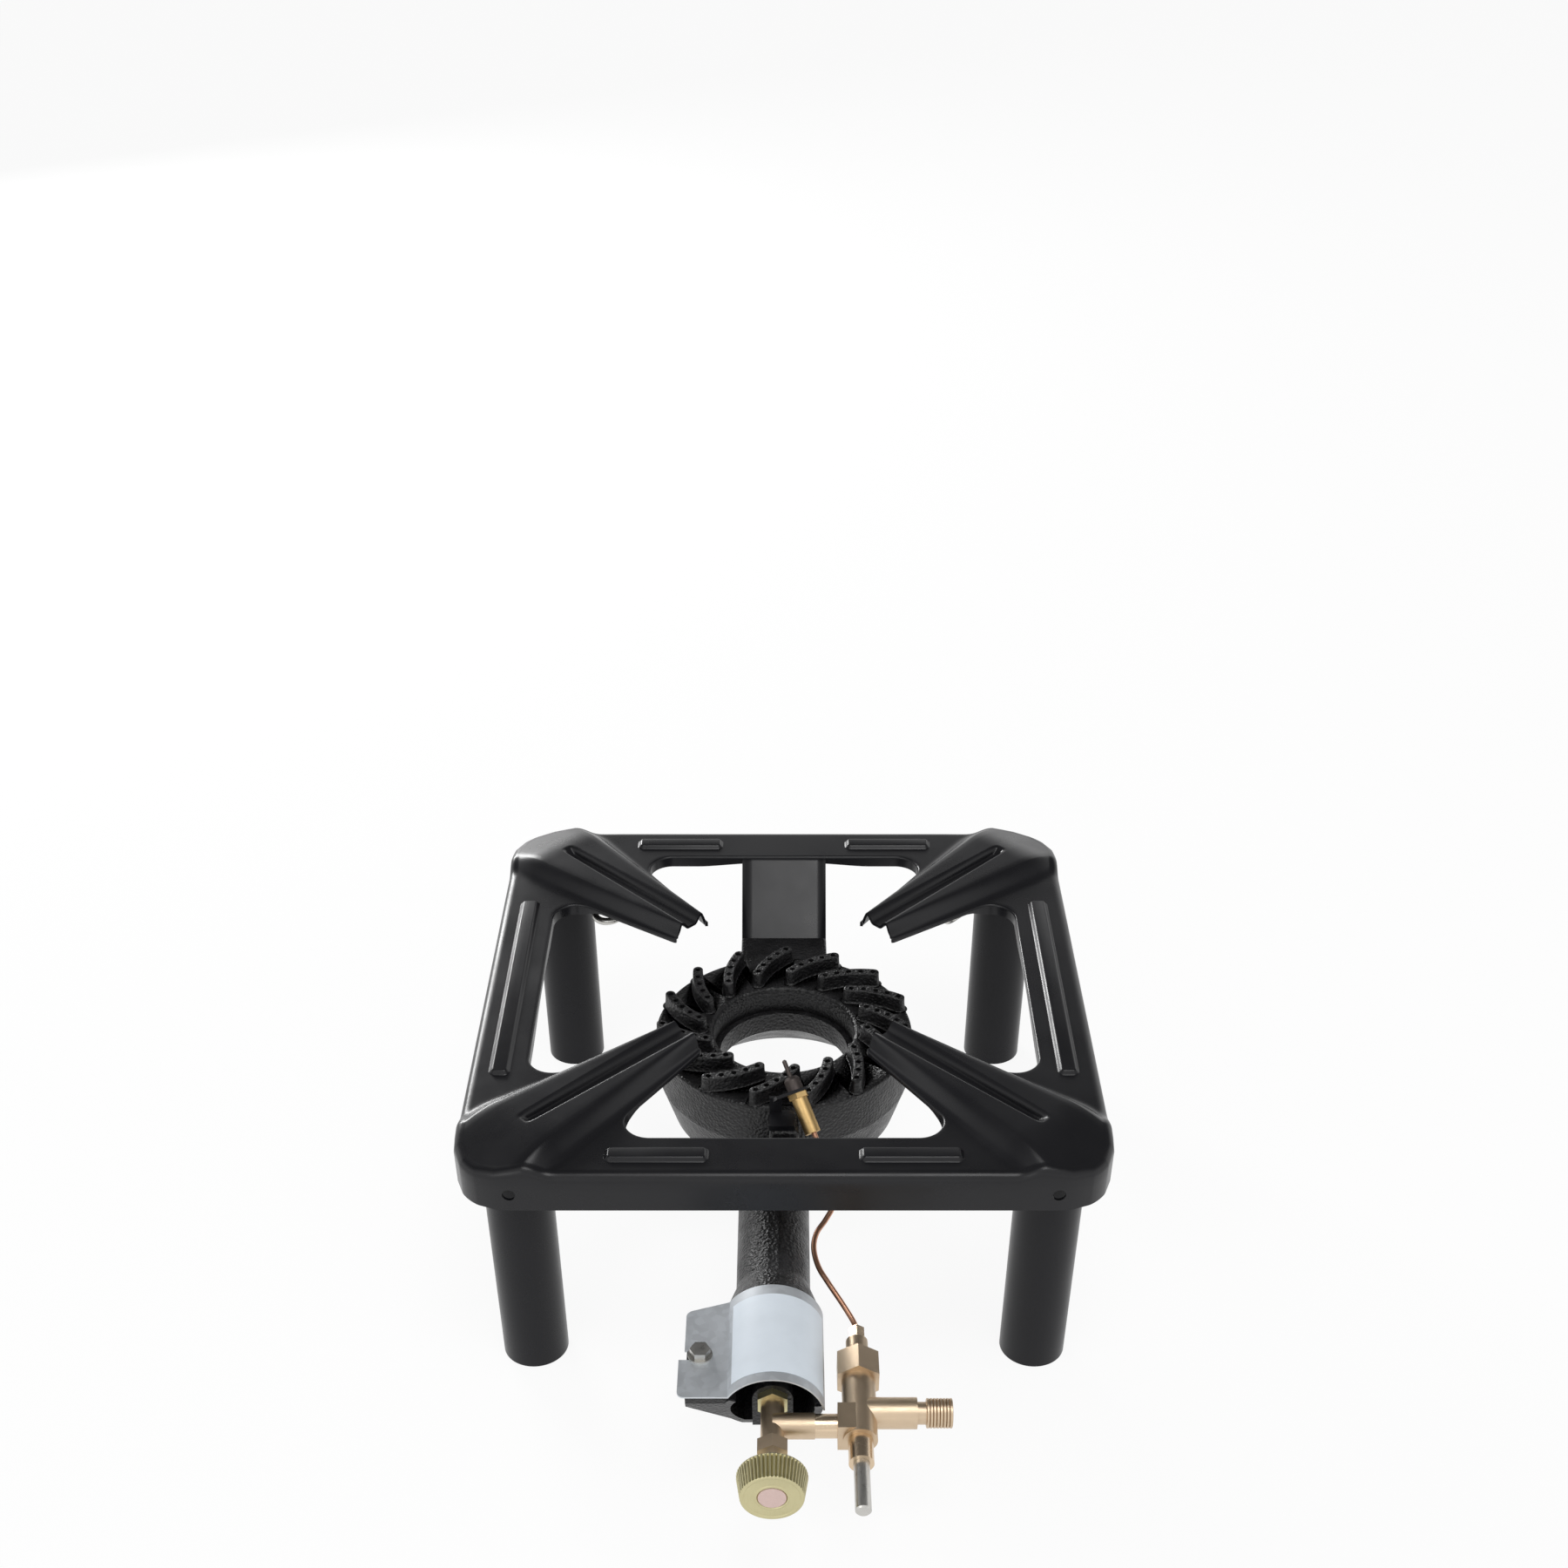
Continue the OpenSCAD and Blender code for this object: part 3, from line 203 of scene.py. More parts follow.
def smooth(piece, degrees):
    """Smooth shading with sharp edges above an angle."""
    piece.data.shade_smooth()
    piece.data.set_sharp_from_angle(angle=np.radians(degrees))
    return piece


def closed_piece(name, grids):
    """Piece of tubes whose ends are closed, with its faces outwards."""
    return smooth(weld(new_piece(name, *shells(grids)), FINE_GAP, outward=True), 60)


def thicken(piece, thickness):
    """Gives a sheet its thickness under its face."""
    wall = piece.modifiers.new("thickness", "SOLIDIFY")
    wall.thickness, wall.offset = thickness * MM, -1.0
    return wall


def settle(piece, modifier):
    """Applies a modifier to the piece's mesh."""
    bpy.context.view_layer.objects.active = piece
    bpy.ops.object.modifier_apply(modifier=modifier.name)


def cut_holes(piece, drills, own):
    """Cuts a piece with drills, each a grid of two end rings; own lets the piece's shells cross."""
    drill = new_piece("drill", *shells(drills))
    cut = piece.modifiers.new("holes", "BOOLEAN")
    cut.operation, cut.object, cut.solver = "DIFFERENCE", drill, "EXACT"
    cut.use_self = own
    settle(piece, cut)
    bpy.data.objects.remove(drill)


def dress(piece, body, slot, material, *nodes):
    """Gives a piece its material and its body, and hides the solids that it stands for; the slot is not used.
    """
    piece.data.materials.clear()
    piece.data.materials.append(material)
    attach(piece, body)
    if nodes:
        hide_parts(*nodes)
    return piece


def ramp(x):
    """Zero below 0, one above 1, and a smooth cubic between."""
    x = np.clip(x, 0.0, 1.0)
    return x * x * (3.0 - 2.0 * x)


def soft_max(a, b, width):
    """The higher of two heights, with a parabola of that width where they cross."""
    share = np.maximum(width - np.abs(a - b), 0.0) / width
    return np.maximum(a, b) + share * share * width / 4.0


def full_turn(count):
    """Angles of a number of even steps round a circle."""
    return np.linspace(0, 2 * np.pi, count, endpoint=False)


def circle(angle):
    """Points of the unit circle at angles."""
    return np.stack([np.cos(angle), np.sin(angle)], -1)


def turned(points, degrees):
    """Points turned about the upright axis."""
    c, s = circle(np.radians(degrees))
    plan = points[..., :2] @ np.array([[c, s], [-s, c]])
    return np.concatenate([plan, points[..., 2:]], -1)


def ways(curve):
    """Unit directions along a curve, from the differences of its points."""
    way = np.gradient(curve, axis=0)
    return way / np.linalg.norm(way, axis=1)[:, None]


def resample(points, step=None, shares=None):
    """Points on a polyline at even steps of about a length, or at shares of its length."""
    lengths = np.concatenate([[0], np.cumsum(np.linalg.norm(np.diff(points, axis=0), axis=1))])
    if shares is None:
        shares = np.linspace(0, 1, int(lengths[-1] / step) + 2)
    at = np.asarray(shares) * lengths[-1]
    return np.stack([np.interp(at, lengths, points[:, k]) for k in range(points.shape[1])], -1)


def rounded_path(corners, radii, step=0.25):
    """Dense points on a line through corners, each inner one an arc of its radius."""
    corners = np.asarray(corners, float)
    out = [corners[0]]
    for a, b, c, r in zip(corners[:-2], corners[1:-1], corners[2:], radii):
        v1, v2 = (a - b) / np.linalg.norm(a - b), (c - b) / np.linalg.norm(c - b)
        half = np.arccos(np.clip(v1 @ v2, -1, 1)) / 2
        middle = b + (v1 + v2) / np.linalg.norm(v1 + v2) * r / np.sin(half)
        p, q = b + v1 * r / np.tan(half) - middle, b + v2 * r / np.tan(half) - middle
        start = np.arctan2(p[1], p[0])
        turn = np.arctan2(p[0] * q[1] - p[1] * q[0], p @ q)
        out.extend(middle + r * circle(start + turn * np.linspace(0, 1, 25)))
    out.append(corners[-1])
    return resample(np.array(out), step)


def rounded_profile(corners, radii):
    """Profile with rounded corners, as a dense line thinned on its straight runs."""
    dense = rounded_path(corners, radii, step=0.35)
    way = np.diff(dense, axis=0)
    way /= np.linalg.norm(way, axis=1)[:, None]
    turn = np.abs(way[:-1, 0] * way[1:, 1] - way[:-1, 1] * way[1:, 0])
    keep = np.concatenate([[True], turn > 1e-4, [True]])
    keep[:-1] |= keep[1:]
    return dense[keep]


def along(a, b):
    """Shares of the length at the points of two facing curves, taken together."""
    steps = np.linalg.norm(np.diff(a, axis=0), axis=1) + np.linalg.norm(np.diff(b, axis=0), axis=1)
    return np.concatenate([[0], np.cumsum(steps)]) / steps.sum()


def stops(*runs):
    """Shares from 0 to 1 in runs of (end, steps), each run evenly divided."""
    ends = [0.0] + [end for end, _ in runs]
    parts = [np.linspace(a, b, n + 1)[1:] for a, b, (_, n) in zip(ends[:-1], ends[1:], runs)]
    return np.concatenate([[0.0], *parts])


def coons(bottom, top, left, right):
    """Grid between four curves that share their ends: two ruled grids added, the bilinear one taken off."""
    u, v = along(bottom, top)[None, :, None], along(left, right)[:, None, None]
    ruled_v = (1 - v) * bottom[None] + v * top[None]
    ruled_u = (1 - u) * left[:, None] + u * right[:, None]
    both = ((1 - v) * ((1 - u) * bottom[0] + u * bottom[-1])
            + v * ((1 - u) * top[0] + u * top[-1]))
    return ruled_v + ruled_u - both


def revolve(profile, count, axis="z"):
    """Profile of radius and height turned about the upright axis, or about one to the front."""
    r, h = np.asarray(profile, float).T
    a, b = np.moveaxis(r[:, None, None] * circle(full_turn(count)), -1, 0)
    high = np.repeat(h[:, None], count, 1)
    return np.stack([a, b, high] if axis == "z" else [a, -high, b], -1)


class PressedFrame:
    """The frame's upper face as a height over the plan, and its patches in one eighth of the plan.

    In an eighth, u runs along the diagonal and s across it. An arm's feet lie at
    s = crest + flank + (u - tip) * tan(11 deg), and its crests spread about half as much. Between the
    crests the top is flat, with a groove that narrows evenly and ends before the corner. The groove's
    walls are two parabolas. Outside the crests a cubic flank falls to the rails, and past the crests'
    end the corner falls as a plane. The beads on the rails are shells of their own.
    """

    # Spread of an arm's feet and of its crests
    SPREAD, CREST_SPREAD = np.tan(np.radians(11.0)), 0.105
    # Crests' end before the corner, slope past it, and half the length of the change
    CREST_STOP, CORNER_FALL, BLEND = 39.0, 0.31, 8.0
    # Groove's end before the crests' end, and its fade
    GROOVE_STOP, GROOVE_FADE = 4.0, 7.0
    # Groove's half width at both ends, share of it that is wall, and share of that in the upper curve
    GROOVE, GROOVE_WALL, WALL_ROUND = (7.2, 4.4), 0.72, 0.78
    # Flank's start inside the crest, its dip below the rail, and the width of their meeting
    FLANK_IN, FLANK_DIP, FLANK_MEET = 1.0, 1.2, 2.0
    # Corner's fall past which a flank meets no rail
    OPEN_FALL = 5.0
    # Lip's depth along an arm, where it starts to grow, and over what length
    ARM_LIP, LIP_FROM, LIP_GROWS = 2.2, 118.0, 14.0
    # Tip's corner radius, direction of the window's corner, and groove line's place at the corner
    TIP_ROUND, WINDOW_WAY, CORNER_IN = 2.2, (1.0, 0.8), 12.0
    # Points along and across the patches
    ALONG_ARM = stops((0.04, 3), (0.74, 14), (1.0, 44))
    IN_GROOVE = stops((0.24, 2), (0.96, 19), (1.0, 2))
    ACROSS = stops((1.0, 26))
    ALONG_RAIL = stops((0.4, 34), (1.0, 8))
    # Ends of the side beads, and of the others
    SIDE_BEAD, FRONT_BEADS = (-76.5, 76.5), ((33.5, 81.5), (-81.5, -33.5))
    # Bead's half width, corner radius, wall, inward offset, and depths of base and foot
    BEAD_HALF, BEAD_ROUND, BEAD_WALL, BEAD_IN = 5.5, 3.4, 2.6, 1.0
    BEAD_SINK, FOOT_SINK = 0.5, 0.02
    # Hanger's upper points from the rail's inner edge, its lower points, and its bends
    STRIP_TOP, STRIP_FOOT = ((2.5, -0.4), (-0.6, -1.2)), ((86.1, 97.9), (67.1, 97.9))
    STRIP_BENDS = (2.0, 3.0)

    def __init__(self, sizes):
        self.z = sizes
        self.crest_end = sizes.half * np.sqrt(2) - self.CREST_STOP
        self.groove_end = self.crest_end - self.GROOVE_STOP

    def crest(self, u):
        """Distance of a crest from the diagonal."""
        return self.z.crest + (u - self.z.tip) * self.CREST_SPREAD

    def foot(self, u):
        """Distance of a flank's foot from the diagonal."""
        return self.z.crest + self.z.flank + (u - self.z.tip) * self.SPREAD

    def groove_half(self, u):
        """Half width of the groove, even from its value at the tip to that at its end."""
        wide, slim = self.GROOVE
        return wide + (slim - wide) * (u - self.z.tip) / (self.groove_end - self.z.tip)

    def wall(self, t):
        """Share of the depth down a wall: a wide parabola from its edge, then a tight one into the floor."""
        t, k = np.clip(t, 0.0, 1.0), self.WALL_ROUND
        return np.where(t < k, t * t / k, 1.0 - (1.0 - t) ** 2 / (1.0 - k))

    def plan(self, u, s):
        """Plan point at a distance along the diagonal and one across it."""
        return np.stack([(u + s) / np.sqrt(2), (u - s) / np.sqrt(2)], -1)

    def height(self, x, y):
        """Height of the upper face over a plan point with x >= y >= 0."""
        z = self.z
        u, s = (x + y) / np.sqrt(2), np.abs(x - y) / np.sqrt(2)
        c, f, edge = self.crest(u), self.foot(u), self.groove_half(u)
        past = u - self.crest_end
        blend = np.maximum(past + self.BLEND, 0) ** 2 / (4 * self.BLEND)
        fall = self.CORNER_FALL * np.where(past > self.BLEND, past, blend)
        depth = z.groove * (1 - ramp((u - self.groove_end + self.GROOVE_FADE) / self.GROOVE_FADE))
        top = z.rise - fall - depth * self.wall((edge - s) / (edge * self.GROOVE_WALL))
        down = ramp((s - c + self.FLANK_IN) / (f - c + self.FLANK_IN))
        flank = z.rise - fall - (z.rise + self.FLANK_DIP) * down
        arm = np.where(s > c - self.FLANK_IN, np.minimum(flank, top), top)
        rail = soft_max(arm, np.zeros_like(arm), self.FLANK_MEET)
        return z.rail_top + np.where((s > c) & (fall < self.OPEN_FALL), rail, arm)

    def lip_low(self, x, y):
        """Height of the lip's lower edge: deep along the rails, shallow along the arms."""
        grown = ramp((np.hypot(x, y) - self.LIP_FROM) / self.LIP_GROWS)
        return self.z.rail_top - self.ARM_LIP - (self.z.lip_low - self.ARM_LIP) * grown

    def inner_edge(self):
        """Edge of the opening, moved in by the bend: from an arm tip's middle along flank and rail."""
        d, tip = self.z.lip_bend, self.z.tip
        line = self.z.lip_at + d
        base = self.foot(0.0) - d / np.cos(np.arctan(self.SPREAD))
        u = (line * np.sqrt(2) - base) / (1 + self.SPREAD)
        corners = [self.plan(tip, 0.0), self.plan(tip, base + self.SPREAD * tip),
                   self.plan(u, base + self.SPREAD * u), (line, 0.0)]
        return rounded_path(corners, [self.TIP_ROUND, self.z.window + d])

    def outer_edge(self):
        """Edge of the top face, moved in by the bend: from a rail's middle to the corner's diagonal."""
        side, r = self.z.half - self.z.edge_bend, self.z.corner - self.z.edge_bend
        arc = side - r + r * circle(np.radians(np.linspace(0, 45, 25)))
        return resample(np.concatenate([[[side, 0.0]], arc]), step=0.25)

    @staticmethod
    def split(points, *marks):
        """Cuts a dense line at the points nearest to the marks."""
        cuts = [int(np.argmin(np.linalg.norm(points - np.asarray(m), axis=1))) for m in marks]
        edges = [0, *cuts, len(points) - 1]
        return [points[a:b + 1] for a, b in zip(edges[:-1], edges[1:])]

    def eighth(self):
        """Grids of one eighth: groove, flank and rail patches, then the strips bent down along their edges."""
        z = self.z
        inner, outer = self.inner_edge(), self.outer_edge()
        side = z.half - z.edge_bend
        u_end = (side * np.sqrt(2) - self.crest(0.0)) / (1 + self.CREST_SPREAD)
        ends = np.array([z.tip, u_end])
        crest_line = resample(self.plan(ends, self.crest(ends)), shares=self.ALONG_ARM)
        corner_mark = self.plan(z.tip, self.foot(z.tip) - z.lip_bend)
        window_mark = inner[np.argmax(inner @ self.WINDOW_WAY)]
        tip_in, tip_out, flank, lip = self.split(inner, crest_line[0], corner_mark, window_mark)
        rail_out, corner_out = self.split(outer, crest_line[-1])
        crest_line[0], crest_line[-1] = tip_in[-1], rail_out[-1]
        edge_share = self.groove_half(z.half * np.sqrt(2) - self.CORNER_IN) / self.crest(u_end)
        bend = np.interp(self.IN_GROOVE, [0.0, self.GROOVE[0] / z.crest, 1.0], [0.0, edge_share, 1.0])
        tip_in = resample(tip_in, shares=self.IN_GROOVE)
        tip_out = resample(tip_out, shares=self.ACROSS)
        flank = resample(flank, shares=self.ALONG_ARM)
        lip = resample(lip, shares=self.ALONG_RAIL)
        rail_out = resample(rail_out[::-1], shares=self.ALONG_RAIL)
        corner_out = resample(corner_out[::-1], shares=bend)
        shoulder = resample(np.array([crest_line[-1], flank[-1]]), shares=self.ACROSS)
        middle = resample(np.array([rail_out[-1], lip[-1]]), shares=self.ACROSS)
        diagonal = resample(np.array([tip_in[0], corner_out[0]]), shares=self.ALONG_ARM)
        patches = (coons(tip_in, corner_out, diagonal, crest_line),
                   coons(tip_out, shoulder, crest_line, flank),
                   coons(shoulder, middle, rail_out, lip))
        grids = [np.dstack([g, self.height(g[..., 0], g[..., 1])]) for g in patches]
        edge = np.concatenate([flank, lip[1:]])
        rim = np.concatenate([corner_out[:-1], rail_out])
        low = self.lip_low(edge[:, 0], edge[:, 1])
        grids.append(self.bent_strip(edge, z.lip_bend, low, -1.0, 1)[:, ::-1])
        low = np.full(len(rim), z.skirt_low)
        grids.append(self.bent_strip(rim, z.edge_bend, low, 1.0, 3, np.sqrt((0.5, 0.5))))
        return grids

    def bent_strip(self, edge, radius, low, turn, rows, first=None):
        """Strip that leaves an edge in a quarter bend and runs straight down to a height."""
        way = ways(edge)
        out = turn * np.stack([-way[:, 1], way[:, 0]], -1)
        out[-1] = (turn, 0.0)
        if first is not None:
            out[0] = first
        top = self.height(edge[:, 0], edge[:, 1])
        angle = np.radians(np.linspace(0, 90, 6))[:, None]
        plan = edge[None] + radius * np.sin(angle)[..., None] * out[None]
        bend = np.dstack([plan, top[None] - radius * (1 - np.cos(angle))])
        share = np.linspace(0, 1, rows + 1)[1:, None]
        fall = bend[-1:, :, 2] * (1 - share) + low[None] * share
        return np.concatenate([bend, np.dstack([np.repeat(plan[-1:], rows, 0), fall])])

    def strip(self, width, sign):
        """Hanger strip under a rail: a rounded line in the side view carried across its width."""
        top = np.add(self.STRIP_TOP, (self.z.lip_at, self.z.rail_top))
        line = rounded_path([*top, *self.STRIP_FOOT], self.STRIP_BENDS, step=1.2)
        across = np.linspace(-width / 2, width / 2, 9)
        y, x = np.meshgrid(line[:, 0], across, indexing="ij")
        high = np.repeat(line[:, 1:], len(across), 1)
        return np.dstack([x * sign, y * sign, high])

    def grids(self):
        """All eight parts: one eighth mirrored in the diagonal and in both axes."""
        out = []
        for g in self.eighth():
            for swap, sx, sy in itertools.product((False, True), (1, -1), (1, -1)):
                p = (g[..., [1, 0, 2]] if swap else g) * (sx, sy, 1.0)
                out.append(p[:, ::-1] if (sx * sy < 0) != swap else p)
        return out

    def bead(self, low, high, turn):
        """Rings of a bead, turned to its side: rounded rectangles drawn in as a cubic wall rises."""
        z = self.z
        quarter = np.arange(4)[:, None] * 90
        corner = circle(np.radians(quarter + np.linspace(0, 90, 9)).ravel())
        side = np.sign(circle(np.radians(np.repeat(quarter.ravel() + 45, 9))))
        line = (z.half + z.lip_at) / 2 - self.BEAD_IN
        middle = np.array([line, (low + high) / 2])
        half = np.array([self.BEAD_HALF, (high - low) / 2])
        share = np.concatenate([[0.0], np.linspace(0, 1, 10)])
        sink = np.where(np.arange(len(share)) == 0, self.BEAD_SINK, self.FOOT_SINK)
        rise = z.rail_top + z.bead * ramp(share) - sink
        inset = share[:, None, None] * self.BEAD_WALL
        plan = middle + side * (half - self.BEAD_ROUND) + (self.BEAD_ROUND - inset) * corner
        return turned(np.dstack([plan, np.repeat(rise[:, None], len(corner), 1)]), turn)

    def beads(self):
        """One long bead on each side rail, two short ones on the front and rear rails."""
        ends = [(self.SIDE_BEAD, turn) for turn in (0, 180)]
        ends += [(pair, turn) for turn in (90, 270) for pair in self.FRONT_BEADS]
        return [self.bead(*pair, turn) for pair, turn in ends]

    def drills(self):
        """Drills of the round holes in the front skirt: rings behind it and before it."""
        at, high, radius = SKIRT_HOLE
        x, z = np.moveaxis(radius * circle(full_turn(32)), -1, 0)
        depths = -self.z.half + 5.0, -self.z.half - 2.0
        return [np.stack([np.stack([side + x, np.full_like(x, y), high + z], -1) for y in depths])
                for side in (-at, at)]


def make_frame(sizes, material):
    """Pressed frame: eight eighths welded into one drilled sheet, two hanger strips, and the beads."""
    shape = PressedFrame(sizes)
    piece = weld(new_piece("frame_sheet", *shells(shape.grids(), False, False, False)), 0.0001)
    settle(piece, thicken(piece, sizes.sheet))
    cut_holes(piece, shape.drills(), False)
    dress(smooth(piece, 75), STOVE, "enamel", material, "stool_frame")
    for place, width, sign in HANGERS:
        g = shape.strip(width, sign)
        strip = new_piece(place + "_hanger", g, grid_quads(*g.shape[:2])[:, ::-1])
        thicken(strip, sizes.sheet)
        dress(smooth(strip, 60), STOVE, "enamel", material)
    dress(closed_piece("rail_beads", shape.beads()), STOVE, "enamel", material)


class Crown:
    """Cast crown: turned plate with rounded edges, and curved ridges with ports."""

    # Ridges' turn in degrees for each millimetre, and the first one's place in degrees
    SWEEP, FIRST = 1.02, 88.6
    # Room from a ridge to the edge and the hole
    EDGE_ROOM, HOLE_ROOM = 3.2, 6.2
    # First and last port along a ridge
    PORT_FROM, PORT_TO = 0.025, 0.95
    # Ridge's foot fillet, sunk in the plate, its side's taper and its rounded top
    FILLET, FOOT_OUT, FOOT_SINK = 1.3, 0.1, 0.25
    TAPER, TAPER_AT, TOP_IN, TOP_ROUND = 0.25, 0.6, 0.3, 0.6
    # Thickness of the plate; thickness and depth of collar and rim, and the rim's draft; edge radii
    PLATE, COLLAR, RIM = 8.0, (4.0, 14.0), (3.5, 24.0, 0.4)
    EDGES = (0.5, 0.5, 1.8, 1.6, 0.8, 0.5)

    def __init__(self, sizes):
        self.z = sizes
        far, near = sizes.outer - self.EDGE_ROOM, sizes.hole + self.HOLE_ROOM
        sweep = np.radians((far - near) * self.SWEEP)
        ends = np.array([[far, 0.0], [near * np.cos(sweep), near * np.sin(sweep)]])
        v = ends[1] - ends[0]
        w = v / np.linalg.norm(v)
        lift = np.sqrt(sizes.ridge_arc ** 2 - v @ v / 4)
        self.middle = ends.mean(0) + lift * np.array([-w[1], w[0]])
        p, q = ends - self.middle
        self.a0, self.a1 = np.arctan2(p[1], p[0]), np.arctan2(q[1], q[0])

    def turned(self, points, k):
        """Points of the first ridge turned to ridge k."""
        return turned(points, self.FIRST + k * 360.0 / self.z.ridges)

    def arc(self, radius, angle):
        """Points about the middle of a ridge's arc."""
        return self.middle + radius * circle(angle)

    def outline(self, inset):
        """Closed line round a ridge, drawn in by inset: two arcs and two half circles."""
        line, half = self.z.ridge_arc, self.z.ridge_w / 2 - inset
        sides = np.linspace(self.a0, self.a1, 18)
        cap = np.linspace(0, np.pi, 12)[1:-1]
        far_cap = self.arc(line, self.a1) + half * circle(self.a1 + cap)
        near_cap = self.arc(line, self.a0) + half * circle(self.a0 + np.pi + cap)
        return np.concatenate([self.arc(line + half, sides), far_cap,
                               self.arc(line - half, sides[::-1]), near_cap])

    def ridge(self):
        """Ridge: outlines at the insets and heights of a profile with a foot fillet and a rounded top."""
        z = self.z
        turn = np.radians(np.linspace(0, 90, 6))
        away, up = 1 - np.sin(turn), 1 - np.cos(turn)
        foot = np.stack([-self.FILLET * away - self.FOOT_OUT, self.FILLET * up - self.FOOT_SINK], -1)
        side = [(self.TAPER, z.ridge_h * self.TAPER_AT)]
        top = np.stack([self.TOP_IN + self.TOP_ROUND * up, z.ridge_h - self.TOP_ROUND * away], -1)
        rows = np.concatenate([foot, side, top])
        plan = np.stack([self.outline(inset) for inset in rows[:, 0]])
        high = np.repeat(z.plate + rows[:, 1:], plan.shape[1], 1)
        return np.dstack([plan, high])

    def drills(self):
        """Drills of the ports along each ridge: upright cylinders that end above the plate."""
        z = self.z
        share = np.linspace(self.PORT_FROM, self.PORT_TO, z.ports)
        first = self.arc(z.ridge_arc, self.a0 + (self.a1 - self.a0) * share)
        ring = z.port_d / 2 * circle(full_turn(16))
        ends = z.plate + 1.0, z.plate + z.ridge_h + 2.0
        middles = np.concatenate([self.turned(first, k) for k in range(z.ridges)])
        return [np.stack([np.column_stack([ring + m, np.full(len(ring), h)]) for h in ends]) for m in middles]

    def plate(self):
        """Plate with a collar and a rim: a rounded profile, turned."""
        z = self.z
        collar, collar_low = z.hole + self.COLLAR[0], z.plate - self.COLLAR[1]
        rim, rim_low, under = z.outer - self.RIM[0], z.plate - self.RIM[1], z.plate - self.PLATE
        corners = [(collar, under), (collar, collar_low), (z.hole, collar_low), (z.hole, z.plate),
                   (z.outer, z.plate), (z.outer - self.RIM[2], rim_low), (rim, rim_low), (rim, under)]
        return revolve(rounded_profile(corners, self.EDGES), 180)


def make_crown(sizes, material):
    """Crown: plate and drilled ridges as one piece, and a lug at front and rear."""
    shape, z = Crown(sizes), sizes
    points, quads, _ = shells([shape.plate()], first=False, last=False)
    ridges = [shape.turned(shape.ridge(), k) for k in range(z.ridges)]
    more, sides, tops = shells(ridges, first=False, start=len(points))
    piece = new_piece("crown_casting", np.concatenate([points, more]), np.concatenate([quads, sides]), tops)
    cut_holes(piece, shape.drills(), True)
    dress(smooth(weld(piece, 0.000005), 50), STOVE, "cast", material, "burner_crown")
    for place, width, sign in HANGERS:
        reach = sorted((sign * (z.outer - 4), sign * (z.outer + 19)))
        lug = rounded_slab(place + "_lug", (-width / 2, width / 2), reach, (z.plate - 6, z.plate), 1.2)
        dress(lug, STOVE, "cast", material)


def rounded_slab(name, xs, ys, zs, radius):
    """Box with rounded edges: a cube's six faces with a bevel of three steps."""
    corner = np.array([[x, y, h] for x in xs for y in ys for h in zs], float)
    faces = np.array([[0, 1, 3, 2], [4, 6, 7, 5], [0, 4, 5, 1], [2, 3, 7, 6], [0, 2, 6, 4], [1, 5, 7, 3]])
    piece = new_piece(name, corner, faces)
    bevel = piece.modifiers.new("round edges", "BEVEL")
    bevel.width, bevel.segments = radius * MM, 3
    return smooth(piece, 40)


# Knob's hub and face as radius and distance to the front, taper, and edge radii
KNOB_HUB = [(0.01, 256.2), (5.5, 256.2), (5.5, 262.7)]
KNOB_FACE = [(12.2, 275.0), (11.9, 274.6), (7.6, 274.6), (7.3, 275.0), (6.6, 275.0),
             (6.2, 274.3), (0.01, 274.3)]
KNOB_TAPER, KNOB_EDGES = 1.8, (0.5, 0.6, 0.9, 0.7, 0.15, 0.15, 0.15, 0.15, 0.2, 0.2)
# Ribs: share of the radius, start, end, growth, fade, and inner limit
RIB_DEPTH, RIB_FROM, RIB_TO, RIB_GROW, RIB_FADE, RIB_IN = 0.06, 263.0, 274.7, 0.8, 0.6, 2.6


def make_knob(sizes, material):
    """Knob: tapered turned body whose side is drawn in by a squared cosine wave into straight ribs."""
    r, back, face = sizes.knob, KNOB_HUB[-1][1], KNOB_FACE[0][1]
    corners = KNOB_HUB + [(r, back), (r - KNOB_TAPER, face)] + KNOB_FACE
    dense = resample(rounded_profile(corners, KNOB_EDGES), step=0.3)
    count = sizes.knurls * 8
    g = revolve(dense, count, "y")
    radius, y = dense.T
    share = ramp((y - RIB_FROM) / RIB_GROW) * ramp((RIB_TO - y) / RIB_FADE) * (radius > r - RIB_IN)
    rib = (0.5 + 0.5 * np.cos(full_turn(count) * sizes.knurls)) ** 2
    g[..., [0, 2]] *= (1 - RIB_DEPTH * share[:, None] * rib)[..., None]
    piece = new_piece("knurled_knob", g + (TUBE_X, 0.0, AXIS_Z), grid_quads(*g.shape[:2], wrap=True))
    dress(smooth(weld(piece, 0.00004, outward=True), 50), "knob", "chromate", material, "knob")


LEAD_ROUTE = [
    (13.7, -79.7, 102.3), (15.5, -82.9, 98.9), (18.0, -88.0, 91.5), (22.5, -98.0, 84.0), (23.5, -108.0, 79.0),
    (20.0, -116.0, 76.5), (15.5, -124.0, 75.0), (14.0, -133.0, 73.5), (16.0, -144.0, 72.0),
    (20.5, -153.0, 70.0), (27.0, -163.0, 66.0), (32.0, -171.5, 62.6), (33.0, -177.0, 62.0),
    (33.0, -183.0, 62.0),
]


